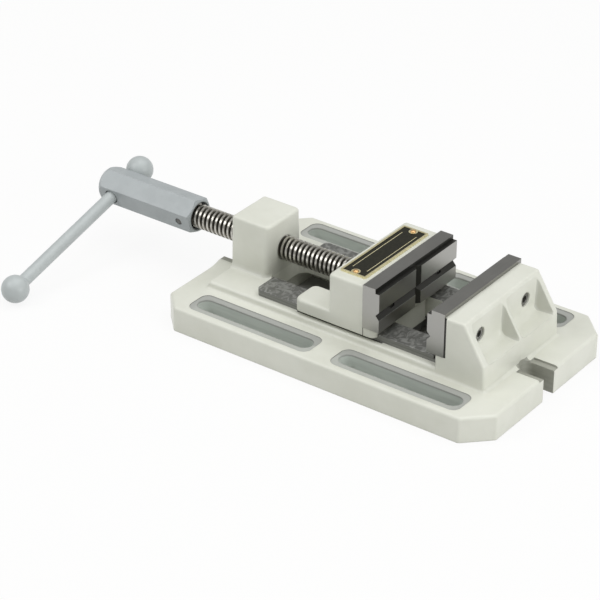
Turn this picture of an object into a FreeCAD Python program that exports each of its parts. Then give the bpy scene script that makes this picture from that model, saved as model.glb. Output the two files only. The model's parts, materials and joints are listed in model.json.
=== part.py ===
"""Drill press vise: a cast base with its slideway, nut block and ribbed fixed jaw, a sliding jaw, and
a trapezoidal screw turned by a sliding bar through a hexagonal hub.

Frame, in millimetres: X along the screw, from the handle towards the fixed jaw; Y across the jaws;
Z up. The origin is on the base's underside, at the middle of the four side slots.
"""

import FreeCAD, Part
import math
import os

import Sketcher

SIZES = {
    # flange of the base
    "base_length": 292.0,
    "base_width": 178.0,
    "base_shift": 1.4,  # the base's middle lies this far past the middle of the slots
    "flange_height": 20.6,
    "corner_cut_handle": 16.0,
    "corner_cut_jaw": 19.5,
    "corner_round": 3.0,
    "rim_round": 2.5,
    # side slots and open end slots, each with a milled ledge round it
    "slot_spacing_along": 130.8,
    "slot_spacing_across": 141.4,
    "slot_width": 14.5,
    "slot_run": 105.5,
    "ledge_width": 5.25,
    "ledge_end_width": 3.25,
    "ledge_bend": 7.0,
    "ledge_depth": 0.5,
    "end_slot_reach": 24.4,
    "end_slot_reach_handle": 16.5,
    "end_ledge_reach": 20.3,
    "end_ledge_reach_handle": 17.5,
    # raised pad round the slot at the handle end
    "end_pad_level": 22.9,
    "end_pad_width": 27.0,
    "end_pad_foot_width": 54.0,
    "end_pad_ledge_depth": 0.4,
    "jaw_end_ledge_depth": 1.5,
    # plinth, rails and the space under them
    "plinth_setback": 19.0,
    "plinth_level": 26.5,
    "plinth_edge": 2.5,
    "foot_round": 2.5,  # concave, where plinth and fixed jaw meet the flange
    "rail_level": 32.0,
    "rail_span": 90.0,
    "rail_start": 42.0,  # from the plinth's handle end
    "rail_corner": 4.0,
    "rail_underside": 14.0,
    "channel_width": 46.0,
    "channel_corner": 8.0,
    "cavity_width": 82.0,
    "cavity_room": 4.0,  # past the keeper plate at both ends of its travel
    "seat_relief_width": 5.0,
    "seat_relief_depth": 2.5,
    # nut block
    "block_length": 36.0,
    "block_width": 43.4,
    "block_level": 70.5,
    "block_draft": 1.3,
    "block_corner": 9.0,
    "block_rim": 2.5,
    "block_foot_round": 5.0,
    # fixed jaw
    "fixed_face": 74.2,  # working face of the fixed jaw plate, from the origin
    "fixed_jaw_width": 100.8,
    "fixed_jaw_level": 70.3,
    "fixed_top_depth": 16.0,
    "slope_foot_depth": 34.0,
    "slope_foot_level": 41.0,
    "fixed_foot_depth": 35.0,
    "seat_depth": 7.0,
    "jaw_edge": 2.0,
    "rib_thickness": 7.2,
    "pocket_wall_depth": 17.5,
    "pocket_floor_level": 39.8,
    "pocket_blend": 6.5,  # from the pockets' wall to their floor
    "pocket_round": 3.0,
    # jaw plates
    "opening": 41.7,
    "plate_width": 102.0,
    "plate_height": 35.7,
    "plate_thickness": 14.7,
    "seat_level": 37.4,
    "step_depth": 3.5,
    "step_height": 3.6,
    "groove_rise": 13.8,  # middle of the long V groove above the plate's foot
    "groove_half": 3.5,
    "groove_depth": 3.0,
    "groove_break": 1.2,  # how far the sliding plate's screw holes run past the bottom of its groove
    "upright_groove_half": 3.6,
    "upright_groove_depth": 3.4,
    # cap screws that hold the jaw plates
    "plate_screw_spread": 61.0,
    "fixed_screw_level": 53.8,
    "cap_shank": 6.0,
    "cap_head": 10.0,
    "cap_head_height": 6.0,
    "counterbore": 11.2,
    "counterbore_depth": 8.5,
    "plate_thread_depth": 10.0,
    "washer_thickness": 1.6,
    # sliding jaw
    "body_depth": 31.5,
    "sliding_jaw_width": 99.8,
    "sliding_jaw_level": 71.8,
    "plate_ledge_reach": 10.2,
    "tongue_reach": 9.2,
    "tongue_setback": 9.0,
    "tongue_corner": 5.0,
    "ledge_corner": 5.0,
    "leg_length": 31.2,
    "leg_width": 26.0,
    "leg_level": 40.4,
    "leg_round": 6.0,
    "skirt_drop": 2.0,
    "body_edge": 3.0,
    # screw, its nose and the pins in its groove
    "screw_height": 45.5,
    "screw_diameter": 18.0,
    "screw_exposed": 157.9,  # from the sliding jaw's back to the hub
    "nose_diameter": 13.0,
    "nose_reach": 23.5,
    "nose_end_gap": 0.5,
    "nose_chamfer": 1.5,
    "groove_from_back": 17.0,
    "nose_groove_root": 9.0,
    "retaining_pin": 4.0,
    # keeper plate and its screws
    "pin_top_rise": 6.0,
    "keeper_thickness": 6.0,
    "keeper_width": 72.0,
    "keeper_corner": 5.0,
    "keeper_screw_spread": 26.0,
    "keeper_shank": 8.0,
    "keeper_head": 13.0,
    "keeper_head_height": 5.3,
    "keeper_grip": 13.0,
    "keeper_washer": 17.0,
    # hub, handle and balls
    "hub_flats": 25.4,
    "hub_length": 97.0,
    "hub_dome": 12.0,
    "hub_chamfer_run": 3.6,
    "hub_chamfer_rise": 2.7,
    "hub_bore_depth": 26.0,
    "hub_pin": 6.0,
    "hub_pin_from_end": 12.7,
    "handle_from_end": 16.0,
    "handle_tilt": 14.8,
    "handle_bar": 9.0,
    "handle_reach": 133.0,
    "ball_diameter": 22.0,
    "ball_grip": 4.0,  # how far the bar goes past each ball's middle
    # name plate and rivets
    "name_plate_width": 22.5,
    "name_plate_length": 83.0,
    "name_plate_thickness": 1.2,
    "name_corner": 1.0,
    "name_field_margin": 1.6,
    "name_field_depth": 0.4,
    "rivet_from_end": 4.2,
    "rivet_boss": 7.0,
    "rivet_head": 4.6,
    "rivet_head_height": 1.2,
    "rivet_shank": 2.5,
    "rivet_length": 6.0,
    # running and fitting clearances
    "thread_gap": 0.05,
    "bore_gap": 0.06,
    "screw_gap": 0.3,
    "rail_gap": 0.1,
    "keeper_gap": 0.2,
    "tongue_gap": 0.15,
    "handle_gap": 0.5,
    "stop_gap": 0.3,
    "pin_gap": 0.15,
    "fit_gap": 0.02,
}

OVERSHOOT = 10.0  # how far a cutting shape runs past the face that it opens


class Size:
    """A length that is held both as a number and as the words that tie it to the sheet."""

    def __init__(self, number, words):
        self.number = number
        self.words = words

    def __neg__(self):
        return Size(-self.number, f"-({self.words})")

    def __add__(self, other):
        other = as_size(other)
        return Size(self.number + other.number, f"({self.words} + {other.words})")

    def __radd__(self, other):
        return as_size(other) + self

    def __sub__(self, other):
        other = as_size(other)
        return Size(self.number - other.number, f"({self.words} - {other.words})")

    def __rsub__(self, other):
        return as_size(other) - self

    def __mul__(self, other):
        other = as_size(other)
        return Size(self.number * other.number, f"({self.words} * {other.words})")

    def __rmul__(self, other):
        return as_size(other) * self

    def __truediv__(self, other):
        other = as_size(other)
        return Size(self.number / other.number, f"({self.words} / {other.words})")


def as_size(value):
    """A Size as it is, and a plain number as a Size of its own."""
    if isinstance(value, Size):
        return value
    return Size(float(value), f"({float(value)})")


def at_most(size, limit):
    """The size, or the limit where that is less."""
    return Size(min(size.number, limit.number), f"min({size.words}; {limit.words})")


def fill_sheet(doc):
    """Writes the driving dimensions into the sheet, one aliased cell each."""
    sheet = doc.addObject("Spreadsheet::Sheet", "Sizes")
    for row, (alias, value) in enumerate(SIZES.items(), 1):
        sheet.set(f"A{row}", alias)
        sheet.set(f"B{row}", str(value))
        sheet.setAlias(f"B{row}", alias)
    doc.recompute()
    return sheet


class Named:
    """Gives each driving dimension of the sheet as a Size, under its own name."""

    def __init__(self, sheet):
        for alias in SIZES:
            setattr(self, alias, Size(float(sheet.get(alias)), f"Sizes.{alias}"))


def bind(item, path, size):
    """Ties one property of a document object to the sheet."""
    item.setExpression(path, as_size(size).words)


def new_body(doc, label):
    """An empty PartDesign body under its own label."""
    body = doc.addObject("PartDesign::Body", label)
    body.Label = label
    return body


def new_sketch(body, name, plane, lift=0.0, across=0.0):
    """A sketch on one of the body's own planes, lifted along its normal and shifted across it."""
    sketch = body.newObject("Sketcher::SketchObject", name)
    support = [item for item in body.Origin.OriginFeatures if item.Role == plane][0]
    sketch.AttachmentSupport = [(support, "")]
    sketch.MapMode = "FlatFace"
    bind(sketch, "AttachmentOffset.Base.x", across)
    bind(sketch, "AttachmentOffset.Base.z", lift)
    return sketch


def pin_down(sketch, geometry, point, across, up):
    """Sets a sketch point's two coordinates from sizes."""
    for kind, size in (("DistanceX", as_size(across)), ("DistanceY", as_size(up))):
        place = sketch.addConstraint(Sketcher.Constraint(kind, -1, 1, geometry, point, size.number))
        sketch.setExpression(f"Constraints[{place}]", size.words)


def outline(sketch, corners):
    """Closes an outline through the corners.

    A corner is (across, up) where a straight edge arrives, or (across, up, centre across, centre up,
    turn) where an arc about that centre arrives, with turn 1 anticlockwise and -1 clockwise.
    """
    corners = [tuple(as_size(value) for value in corner) for corner in corners]
    places = [FreeCAD.Vector(corner[0].number, corner[1].number, 0) for corner in corners]
    ends = []
    for index, corner in enumerate(corners):
        start, stop = places[index - 1], places[index]
        if len(corner) == 2:
            geometry = sketch.addGeometry(Part.LineSegment(start, stop), False)
            ends.append((geometry, 1, 2))
            continue
        centre = FreeCAD.Vector(corner[2].number, corner[3].number, 0)
        anticlockwise = corner[4].number > 0
        first, last = (start, stop) if anticlockwise else (stop, start)
        circle = Part.Circle(centre, FreeCAD.Vector(0, 0, 1), (start - centre).Length)
        angles = [math.atan2(place.y - centre.y, place.x - centre.x) for place in (first, last)]
        if angles[1] <= angles[0]:
            angles[1] += 2 * math.pi
        geometry = sketch.addGeometry(Part.ArcOfCircle(circle, *angles), False)
        ends.append((geometry, 1, 2) if anticlockwise else (geometry, 2, 1))
        level_chord = abs(stop.x - start.x) >= abs(stop.y - start.y)
        kind, size = ("DistanceY", corner[3]) if level_chord else ("DistanceX", corner[2])
        place = sketch.addConstraint(Sketcher.Constraint(kind, -1, 1, geometry, 3, size.number))
        sketch.setExpression(f"Constraints[{place}]", size.words)
    for index, (geometry, start, stop) in enumerate(ends):
        following = ends[(index + 1) % len(ends)]
        sketch.addConstraint(Sketcher.Constraint("Coincident", geometry, stop, following[0], following[1]))
        pin_down(sketch, geometry, stop, corners[index][0], corners[index][1])


def rectangle(sketch, left, right, low, high):
    """A rectangle between four coordinates."""
    outline(sketch, [(left, low), (right, low), (right, high), (left, high)])


def rounded_rectangle(sketch, left, right, low, high, corner):
    """A rectangle whose four corners are arcs of one radius."""
    outline(
        sketch,
        [
            (left, low + corner),
            (left + corner, low, left + corner, low + corner, 1),
            (right - corner, low),
            (right, low + corner, right - corner, low + corner, 1),
            (right, high - corner),
            (right - corner, high, right - corner, high - corner, 1),
            (left + corner, high),
            (left, high - corner, left + corner, high - corner, 1),
        ],
    )


def circle(sketch, across, up, radius):
    """A circle about a point."""
    radius = as_size(radius)
    middle = FreeCAD.Vector(as_size(across).number, as_size(up).number, 0)
    geometry = sketch.addGeometry(Part.Circle(middle, FreeCAD.Vector(0, 0, 1), radius.number), False)
    pin_down(sketch, geometry, 3, across, up)
    place = sketch.addConstraint(Sketcher.Constraint("Radius", geometry, radius.number))
    sketch.setExpression(f"Constraints[{place}]", radius.words)


def obround(sketch, start, stop, middle, width):
    """A slot along the first axis, between its two end centres."""
    half = width / 2
    outline(
        sketch,
        [
            (start, middle - half, start, middle, 1),
            (stop, middle - half),
            (stop, middle + half, stop, middle, 1),
            (start, middle + half),
        ],
    )


def pad(body, sketch, length, symmetric=False, backwards=False, taper=None):
    """Adds the sketch's outline to the body, along the sketch's normal."""
    feature = body.newObject("PartDesign::Pad", sketch.Name + "_pad")
    feature.Profile = sketch
    feature.SideType = "Symmetric" if symmetric else "One side"
    feature.Reversed = backwards
    bind(feature, "Length", length)
    if taper is not None:
        bind(feature, "TaperAngle", taper)
    return feature


def pocket(body, sketch, depth, symmetric=False, backwards=False):
    """Cuts the sketch's outline out of the body, and makes sure that it cut something."""
    body.Document.recompute()
    before = body.Tip.Shape.Volume
    feature = body.newObject("PartDesign::Pocket", sketch.Name + "_pocket")
    feature.Profile = sketch
    feature.SideType = "Symmetric" if symmetric else "One side"
    feature.Reversed = backwards
    bind(feature, "Length", depth)
    body.Document.recompute()
    if not feature.Shape.Volume < before:
        raise ValueError(f"{feature.Name} cuts nothing")
    return feature


def revolve(body, sketch, axis, kind="Revolution"):
    """Turns the sketch's outline about one of the sketch's own axes."""
    feature = body.newObject("PartDesign::" + kind, sketch.Name + "_turned")
    feature.Profile = sketch
    feature.ReferenceAxis = (sketch, [axis])
    feature.Angle = 360
    return feature


def round_edges(body, name, radius, wanted):
    """Rounds the edges of the body that the test picks."""
    body.Document.recompute()
    tip = body.Tip
    names = [f"Edge{number}" for number, edge in enumerate(tip.Shape.Edges, 1) if wanted(edge)]
    feature = body.newObject("PartDesign::Fillet", name)
    feature.Base = (tip, names)
    bind(feature, "Radius", radius)
    body.Document.recompute()
    return feature


def close(value, size, slack=0.01):
    """Whether a number is the size, within a small slack."""
    return abs(value - as_size(size).number) < slack


def level_at(edge, size):
    """Whether an edge lies flat at a height."""
    return close(edge.BoundBox.ZMin, size) and close(edge.BoundBox.ZMax, size)


def upright(edge):
    """Whether an edge is a vertical line."""
    return edge.BoundBox.XLength < 0.01 and edge.BoundBox.YLength < 0.01


class Layout:
    """Places along X that several pieces share, worked out from the driving dimensions."""

    def __init__(self, s):
        self.base_left = s.base_shift - s.base_length / 2
        self.base_right = s.base_shift + s.base_length / 2
        self.plinth_left = self.base_left + s.plinth_setback
        self.block_right = self.plinth_left + s.block_length
        self.fixed_back = s.fixed_face + s.plate_thickness
        self.jaw_foot = self.fixed_back + s.fixed_foot_depth
        self.seat_front = self.fixed_back - s.seat_depth
        self.pocket_wall = self.fixed_back + s.pocket_wall_depth
        self.moving_face = s.fixed_face - s.opening
        self.body_front = self.moving_face - s.plate_thickness
        self.body_back = self.body_front - s.body_depth
        self.ledge_front = self.body_front + s.plate_ledge_reach
        self.tongue_front = self.body_front + s.tongue_reach
        self.leg_end = self.body_back - s.leg_length
        self.body_middle = (self.body_back + self.body_front) / 2
        self.groove_middle = self.body_back + s.groove_from_back
        self.hub_right = self.body_back - s.screw_exposed
        self.hub_left = self.hub_right - s.hub_length
        self.screw_left = self.hub_right - s.hub_bore_depth + s.stop_gap
        self.hub_pin = self.hub_right - s.hub_pin_from_end
        self.handle = self.hub_left + s.handle_from_end
        self.tongue_back = self.body_back + s.tongue_setback
        self.tongue_middle = (self.tongue_back + self.tongue_front) / 2
        self.channel_right = self.tongue_front + s.opening + s.cavity_room
        self.cavity_right = self.channel_right + s.cavity_room
        self.cavity_left = self.block_right - s.cavity_room
        self.jaw_underside = s.rail_level + s.rail_gap
        self.keeper_top = s.rail_underside - s.keeper_gap
        self.groove_level = s.seat_level + s.groove_rise
        self.pin_offset = (s.nose_groove_root + s.retaining_pin) / 2 + s.bore_gap
        self.rivet_offset = s.name_plate_length / 2 - s.rivet_from_end
        self.upper_ball = (s.hub_flats + s.ball_diameter) / 2 + s.stop_gap


def flange(body, s, at):
    """The flat octagonal foot of the base."""
    half = s.base_width / 2
    near_handle = at.base_left + s.corner_cut_handle
    near_jaw = at.base_right - s.corner_cut_jaw
    sketch = new_sketch(body, "flange_outline", "XY_Plane")
    outline(
        sketch,
        [
            (at.base_left, -half + s.corner_cut_handle),
            (near_handle, -half),
            (near_jaw, -half),
            (at.base_right, -half + s.corner_cut_jaw),
            (at.base_right, half - s.corner_cut_jaw),
            (near_jaw, half),
            (near_handle, half),
            (at.base_left, half - s.corner_cut_handle),
        ],
    )
    pad(body, sketch, s.flange_height)
    round_edges(body, "flange_corners", s.corner_round, upright)

    rise = s.end_pad_level - s.flange_height
    foot, top = s.end_pad_foot_width / 2, s.end_pad_width / 2
    centre = s.flange_height + ((foot - top) * (foot - top) + rise * rise) / (2 * rise)
    low = s.flange_height - s.rim_round
    sketch = new_sketch(body, "end_pad", "YZ_Plane", at.base_left)
    outline(
        sketch,
        [
            (-foot, low),
            (foot, low),
            (foot, s.flange_height),
            (top, s.end_pad_level, foot, centre, -1),
            (-top, s.end_pad_level),
            (-foot, s.flange_height, -foot, centre, -1),
        ],
    )
    pad(body, sketch, at.plinth_left + 1 - at.base_left)

    def on_rim(edge):
        middle = edge.CenterOfMass
        across = edge.BoundBox.XLength < 0.01
        at_end = across and (close(middle.x, at.base_left) or close(middle.x, at.base_right))
        at_side = level_at(edge, s.flange_height) and abs(middle.y) > (half - s.corner_cut_jaw).number
        return middle.z > s.flange_height.number - 0.01 and (at_end or at_side)

    round_edges(body, "flange_rim", s.rim_round, on_rim)


def slideway(body, s, at):
    """The raised plinth, and the bank that becomes the two rails."""
    side = s.fixed_jaw_width / 2
    sketch = new_sketch(body, "plinth", "XY_Plane", s.flange_height)
    rectangle(sketch, at.plinth_left, at.seat_front + 1, -side, side)
    pad(body, sketch, s.plinth_level - s.flange_height)
    half = s.rail_span / 2
    rail_left = at.plinth_left + s.rail_start
    sketch = new_sketch(body, "rail_bank", "XY_Plane", s.flange_height)
    corner = s.rail_corner
    outline(
        sketch,
        [
            (rail_left, -half + corner),
            (rail_left + corner, -half, rail_left + corner, -half + corner, 1),
            (at.seat_front + 1, -half),
            (at.seat_front + 1, half),
            (rail_left + corner, half),
            (rail_left, half - corner, rail_left + corner, half - corner, 1),
        ],
    )
    pad(body, sketch, s.rail_level - s.flange_height)


def nut_block(body, s, at):
    """The upright block that the screw's thread is cut in, flush with the plinth's end."""
    half = s.block_width / 2
    corner = s.block_corner
    right = at.block_right
    sketch = new_sketch(body, "nut_block", "XY_Plane", s.plinth_level)
    outline(
        sketch,
        [
            (at.plinth_left - s.block_rim, -half),
            (right - corner, -half),
            (right, -half + corner, right - corner, -half + corner, 1),
            (right, half - corner),
            (right - corner, half, right - corner, half - corner, 1),
            (at.plinth_left - s.block_rim, half),
        ],
    )
    pad(body, sketch, s.block_level - s.plinth_level, taper=-s.block_draft)
    sketch = new_sketch(body, "block_end", "XZ_Plane")
    low = (s.end_pad_level + s.plinth_level) / 2
    rectangle(sketch, at.base_left, at.plinth_left, low, s.block_level + OVERSHOOT)
    pocket(body, sketch, s.base_width, symmetric=True)

    def near_block(edge):
        middle = edge.CenterOfMass
        return abs(middle.y) < half.number + 1 and middle.x < right.number + 1

    def at_foot(edge):
        inner = edge.CenterOfMass.x > at.plinth_left.number + 1
        return near_block(edge) and level_at(edge, s.plinth_level) and inner

    def at_rim(edge):
        return near_block(edge) and level_at(edge, s.block_level)

    def at_end(edge):
        middle = edge.CenterOfMass
        tall = edge.BoundBox.ZLength > 0.5 * (s.block_level - s.plinth_level).number
        return near_block(edge) and tall and close(middle.x, at.plinth_left)

    round_edges(body, "block_foot", s.block_foot_round, at_foot)
    round_edges(body, "block_rim", s.block_rim, lambda edge: at_rim(edge) or at_end(edge))


def plinth_sides(body, s, at):
    """The plinth's round shoulders, and the hollow feet along it and the fixed jaw."""
    side = s.fixed_jaw_width / 2

    def shoulder(edge):
        along = edge.BoundBox.XLength > 0.5 * (at.seat_front - at.plinth_left).number
        return along and level_at(edge, s.plinth_level) and close(abs(edge.CenterOfMass.y), side)

    shelf = side - s.rail_span / 2
    round_edges(body, "plinth_shoulders", at_most(s.plinth_edge, 0.8 * shelf), shoulder)
    foot = s.foot_round
    low = s.flange_height - 1
    sketch = new_sketch(body, "side_feet", "YZ_Plane", at.plinth_left)
    for across in (-1, 1):
        corners = [
            (side * across - foot * across, low),
            ((side + foot) * across, low),
            ((side + foot) * across, s.flange_height),
            (side * across, s.flange_height + foot, (side + foot) * across, s.flange_height + foot, -across),
            ((side - foot) * across, s.flange_height + foot),
        ]
        outline(sketch, corners)
    pad(body, sketch, at.jaw_foot - s.jaw_edge - at.plinth_left)


def fixed_jaw(body, s, at):
    """The jaw cast on the base: seat, upright face and a back that slopes down between ribs."""
    sketch = new_sketch(body, "fixed_jaw_side", "XZ_Plane")
    top_back = at.fixed_back + s.fixed_top_depth
    slope_foot = at.fixed_back + s.slope_foot_depth
    outline(
        sketch,
        [
            (at.seat_front, s.flange_height),
            (at.jaw_foot, s.flange_height),
            (slope_foot, s.slope_foot_level),
            (top_back, s.fixed_jaw_level),
            (at.fixed_back, s.fixed_jaw_level),
            (at.fixed_back, s.seat_level),
            (at.seat_front, s.seat_level),
        ],
    )
    pad(body, sketch, s.fixed_jaw_width, symmetric=True)
    half = s.fixed_jaw_width / 2

    def back_edge(edge):
        middle = edge.CenterOfMass
        behind = middle.x > at.fixed_back.number + 1 and middle.z > s.flange_height.number + 1
        rising = edge.BoundBox.ZLength > 1 or level_at(edge, s.fixed_jaw_level)
        on_side = close(edge.BoundBox.YMin, edge.BoundBox.YMax) and close(abs(middle.y), half)
        across = level_at(edge, s.fixed_jaw_level) or level_at(edge, s.slope_foot_level)
        return behind and ((on_side and rising) or across)

    round_edges(body, "fixed_jaw_edges", s.jaw_edge, back_edge)
    jaw_foot_round(body, s, at)


def jaw_foot_round(body, s, at):
    """The hollow foot behind the fixed jaw, turned round its two corners."""
    foot, edge = s.foot_round, s.jaw_edge
    low, high = s.flange_height - 1, s.flange_height + foot
    sketch = new_sketch(body, "jaw_foot", "XZ_Plane")
    outline(
        sketch,
        [
            (at.jaw_foot - edge, low),
            (at.jaw_foot + foot, low),
            (at.jaw_foot + foot, s.flange_height),
            (at.jaw_foot, high, at.jaw_foot + foot, high, -1),
            (at.jaw_foot - edge, high),
        ],
    )
    pad(body, sketch, s.fixed_jaw_width - 2 * edge, symmetric=True)
    for side, name in ((-1, "near_foot_corner"), (1, "far_foot_corner")):
        # an XZ sketch faces -Y
        sketch = new_sketch(body, name, "XZ_Plane", (edge - s.fixed_jaw_width / 2) * side, at.jaw_foot - edge)
        outline(
            sketch,
            [
                (as_size(0), low),
                (edge + foot, low),
                (edge + foot, s.flange_height),
                (edge, high, edge + foot, high, -1),
                (as_size(0), high),
            ],
        )
        revolve(body, sketch, "V_Axis")


def back_pockets(body, s, at):
    """Two blind pockets in the sloping back, which leave three ribs and a floor between them."""
    near = s.rib_thickness / 2
    far = s.fixed_jaw_width / 2 - s.rib_thickness
    blend = s.pocket_blend
    for side, name in ((-1, "near_pocket"), (1, "far_pocket")):
        # an XZ sketch faces -Y
        sketch = new_sketch(body, name, "XZ_Plane", -far if side > 0 else near)
        outline(
            sketch,
            [
                (at.pocket_wall, s.pocket_floor_level + blend),
                (
                    at.pocket_wall + blend, s.pocket_floor_level,
                    at.pocket_wall + blend, s.pocket_floor_level + blend, 1,
                ),
                (at.jaw_foot + OVERSHOOT, s.pocket_floor_level),
                (at.jaw_foot + OVERSHOOT, s.fixed_jaw_level + OVERSHOOT),
                (at.pocket_wall, s.fixed_jaw_level + OVERSHOOT),
            ],
        )
        pocket(body, sketch, far - near, backwards=True)

        def wall_corner(edge, side=side):
            across = edge.CenterOfMass.y * side
            return upright(edge) and close(edge.CenterOfMass.x, at.pocket_wall) and (
                close(across, near) or close(across, far)
            )

        round_edges(body, name + "_corners", s.pocket_round, wall_corner)


def milled_slots(body, s, at):
    """The four side slots and the two open end slots, each with its shallow milled ledge."""
    ledge_half = s.slot_width / 2 + s.ledge_width
    ledge_run = s.slot_run / 2 + s.ledge_end_width
    half_run = (s.slot_run - s.slot_width) / 2
    places = [
        (s.slot_spacing_along / 2 * along, s.slot_spacing_across / 2 * across)
        for along in (-1, 1)
        for across in (-1, 1)
    ]
    sketch = new_sketch(body, "side_slot_ledges", "XY_Plane", s.flange_height + 1)
    for along, across in places:
        rounded_rectangle(
            sketch, along - ledge_run, along + ledge_run, across - ledge_half, across + ledge_half, s.ledge_bend
        )
    pocket(body, sketch, s.ledge_depth + 1)
    sketch = new_sketch(body, "side_slots", "XY_Plane", s.flange_height + 1)
    for along, across in places:
        obround(sketch, along - half_run, along + half_run, across, s.slot_width)
    pocket(body, sketch, s.flange_height + 1)

    sketch = new_sketch(body, "handle_end_ledge", "XY_Plane", s.end_pad_level + 1)
    rectangle(sketch, at.base_left - 1, at.base_left + s.end_ledge_reach_handle, -ledge_half, ledge_half)
    pocket(body, sketch, s.end_pad_ledge_depth + 1)
    sketch = new_sketch(body, "jaw_end_ledge", "XY_Plane", s.flange_height + 1)
    rectangle(sketch, at.base_right - s.end_ledge_reach, at.base_right + 1, -ledge_half, ledge_half)
    pocket(body, sketch, s.jaw_end_ledge_depth + 1)
    left_centre = at.base_left + s.end_slot_reach_handle - s.slot_width / 2
    right_centre = at.base_right - s.end_slot_reach + s.slot_width / 2
    sketch = new_sketch(body, "end_slots", "XY_Plane", s.plinth_level + 1)
    obround(sketch, at.base_left - s.slot_width, left_centre, as_size(0), s.slot_width)
    obround(sketch, right_centre, at.base_right + s.slot_width, as_size(0), s.slot_width)
    pocket(body, sketch, s.plinth_level + 2)


def way_channel(body, s, at):
    """Cuts the channel between the rails, the space under them and the relief at the fixed jaw's seat."""
    half = s.channel_width / 2
    sketch = new_sketch(body, "channel", "XY_Plane", s.rail_level + 1)
    rounded_rectangle(sketch, at.block_right, at.channel_right, -half, half, s.channel_corner)
    pocket(body, sketch, s.rail_level + 2)
    sketch = new_sketch(body, "under_rails", "XY_Plane", as_size(-1))
    half = s.cavity_width / 2
    rectangle(sketch, at.cavity_left, at.cavity_right, -half, half)
    pocket(body, sketch, s.rail_underside + 1, backwards=True)
    sketch = new_sketch(body, "seat_relief", "XZ_Plane")
    top = s.rail_level + 1
    low = s.rail_level - s.seat_relief_depth
    rectangle(sketch, at.seat_front - s.seat_relief_width, at.seat_front, low, top)
    pocket(body, sketch, s.fixed_jaw_width + 2, symmetric=True)


def base_bores(body, s, at):
    """The threaded hole for the screw, and the stepped holes behind the fixed jaw plate."""
    sketch = new_sketch(body, "nut_thread", "YZ_Plane", at.plinth_left - OVERSHOOT)
    circle(sketch, 0, s.screw_height, s.screw_diameter / 2 + s.thread_gap)
    pocket(body, sketch, s.block_length + 2 * OVERSHOOT, backwards=True)
    for name, radius, start in (
        ("fixed_screw_holes", s.cap_shank / 2 + s.stop_gap, at.fixed_back - 1),
        ("fixed_counterbores", s.counterbore / 2, at.pocket_wall - s.counterbore_depth),
    ):
        sketch = new_sketch(body, name, "YZ_Plane", start)
        for side in (-1, 1):
            circle(sketch, s.plate_screw_spread / 2 * side, s.fixed_screw_level, radius)
        pocket(body, sketch, at.jaw_foot - start + OVERSHOOT, backwards=True)


def base_casting(doc, s, at):
    """The cast base, feature by feature, with its bores cut last."""
    body = new_body(doc, "base_casting")
    flange(body, s, at)
    fixed_jaw(body, s, at)
    slideway(body, s, at)
    nut_block(body, s, at)
    plinth_sides(body, s, at)
    back_pockets(body, s, at)
    milled_slots(body, s, at)
    way_channel(body, s, at)
    base_bores(body, s, at)
    return body


def sliding_jaw(doc, s, at):
    """The sliding jaw: body, plate ledge, two tail legs, and the tongue that runs in the channel."""
    body = new_body(doc, "movable_jaw")
    half = s.sliding_jaw_width / 2
    low = s.rail_level - s.skirt_drop
    sketch = new_sketch(body, "jaw_side", "XZ_Plane")
    outline(
        sketch,
        [
            (at.body_back, low),
            (at.ledge_front, low),
            (at.ledge_front, s.seat_level),
            (at.body_front, s.seat_level),
            (at.body_front, s.sliding_jaw_level),
            (at.body_back, s.sliding_jaw_level),
        ],
    )
    pad(body, sketch, s.sliding_jaw_width, symmetric=True)
    sketch = new_sketch(body, "legs", "XY_Plane", low)
    for side in (-1, 1):
        near, far = sorted(((half - s.leg_width) * side, half * side), key=lambda size: size.number)
        corner = s.leg_round
        outline(
            sketch,
            [
                (at.leg_end, near + corner),
                (at.leg_end + corner, near, at.leg_end + corner, near + corner, 1),
                (at.body_back + 1, near),
                (at.body_back + 1, far),
                (at.leg_end + corner, far),
                (at.leg_end, far - corner, at.leg_end + corner, far - corner, 1),
            ],
        )
    pad(body, sketch, s.leg_level - low)

    def ledge_end(edge):
        return upright(edge) and close(edge.CenterOfMass.x, at.ledge_front)

    def body_edge(edge):
        middle = edge.CenterOfMass
        on_top = level_at(edge, s.sliding_jaw_level) and middle.x < at.body_front.number - 0.1
        on_leg = level_at(edge, s.leg_level) and middle.x < at.body_back.number - 0.1
        back_corner = upright(edge) and close(middle.x, at.body_back) and middle.z > s.leg_level.number
        return on_top or on_leg or back_corner

    round_edges(body, "ledge_corners", s.ledge_corner, ledge_end)
    round_edges(body, "jaw_edges", s.body_edge, body_edge)
    sketch = new_sketch(body, "rail_space", "YZ_Plane", at.leg_end - 1)
    rail_half = s.rail_span / 2 + s.screw_gap
    rectangle(sketch, -rail_half, rail_half, low - 1, at.jaw_underside)
    pocket(body, sketch, at.ledge_front - at.leg_end + 2, backwards=True)

    sketch = new_sketch(body, "tongue", "XY_Plane", at.keeper_top)
    tongue_half = s.channel_width / 2 - s.tongue_gap
    rounded_rectangle(sketch, at.tongue_back, at.tongue_front, -tongue_half, tongue_half, s.tongue_corner)
    pad(body, sketch, at.jaw_underside + 1 - at.keeper_top)
    jaw_bores(body, s, at)
    return body


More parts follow.
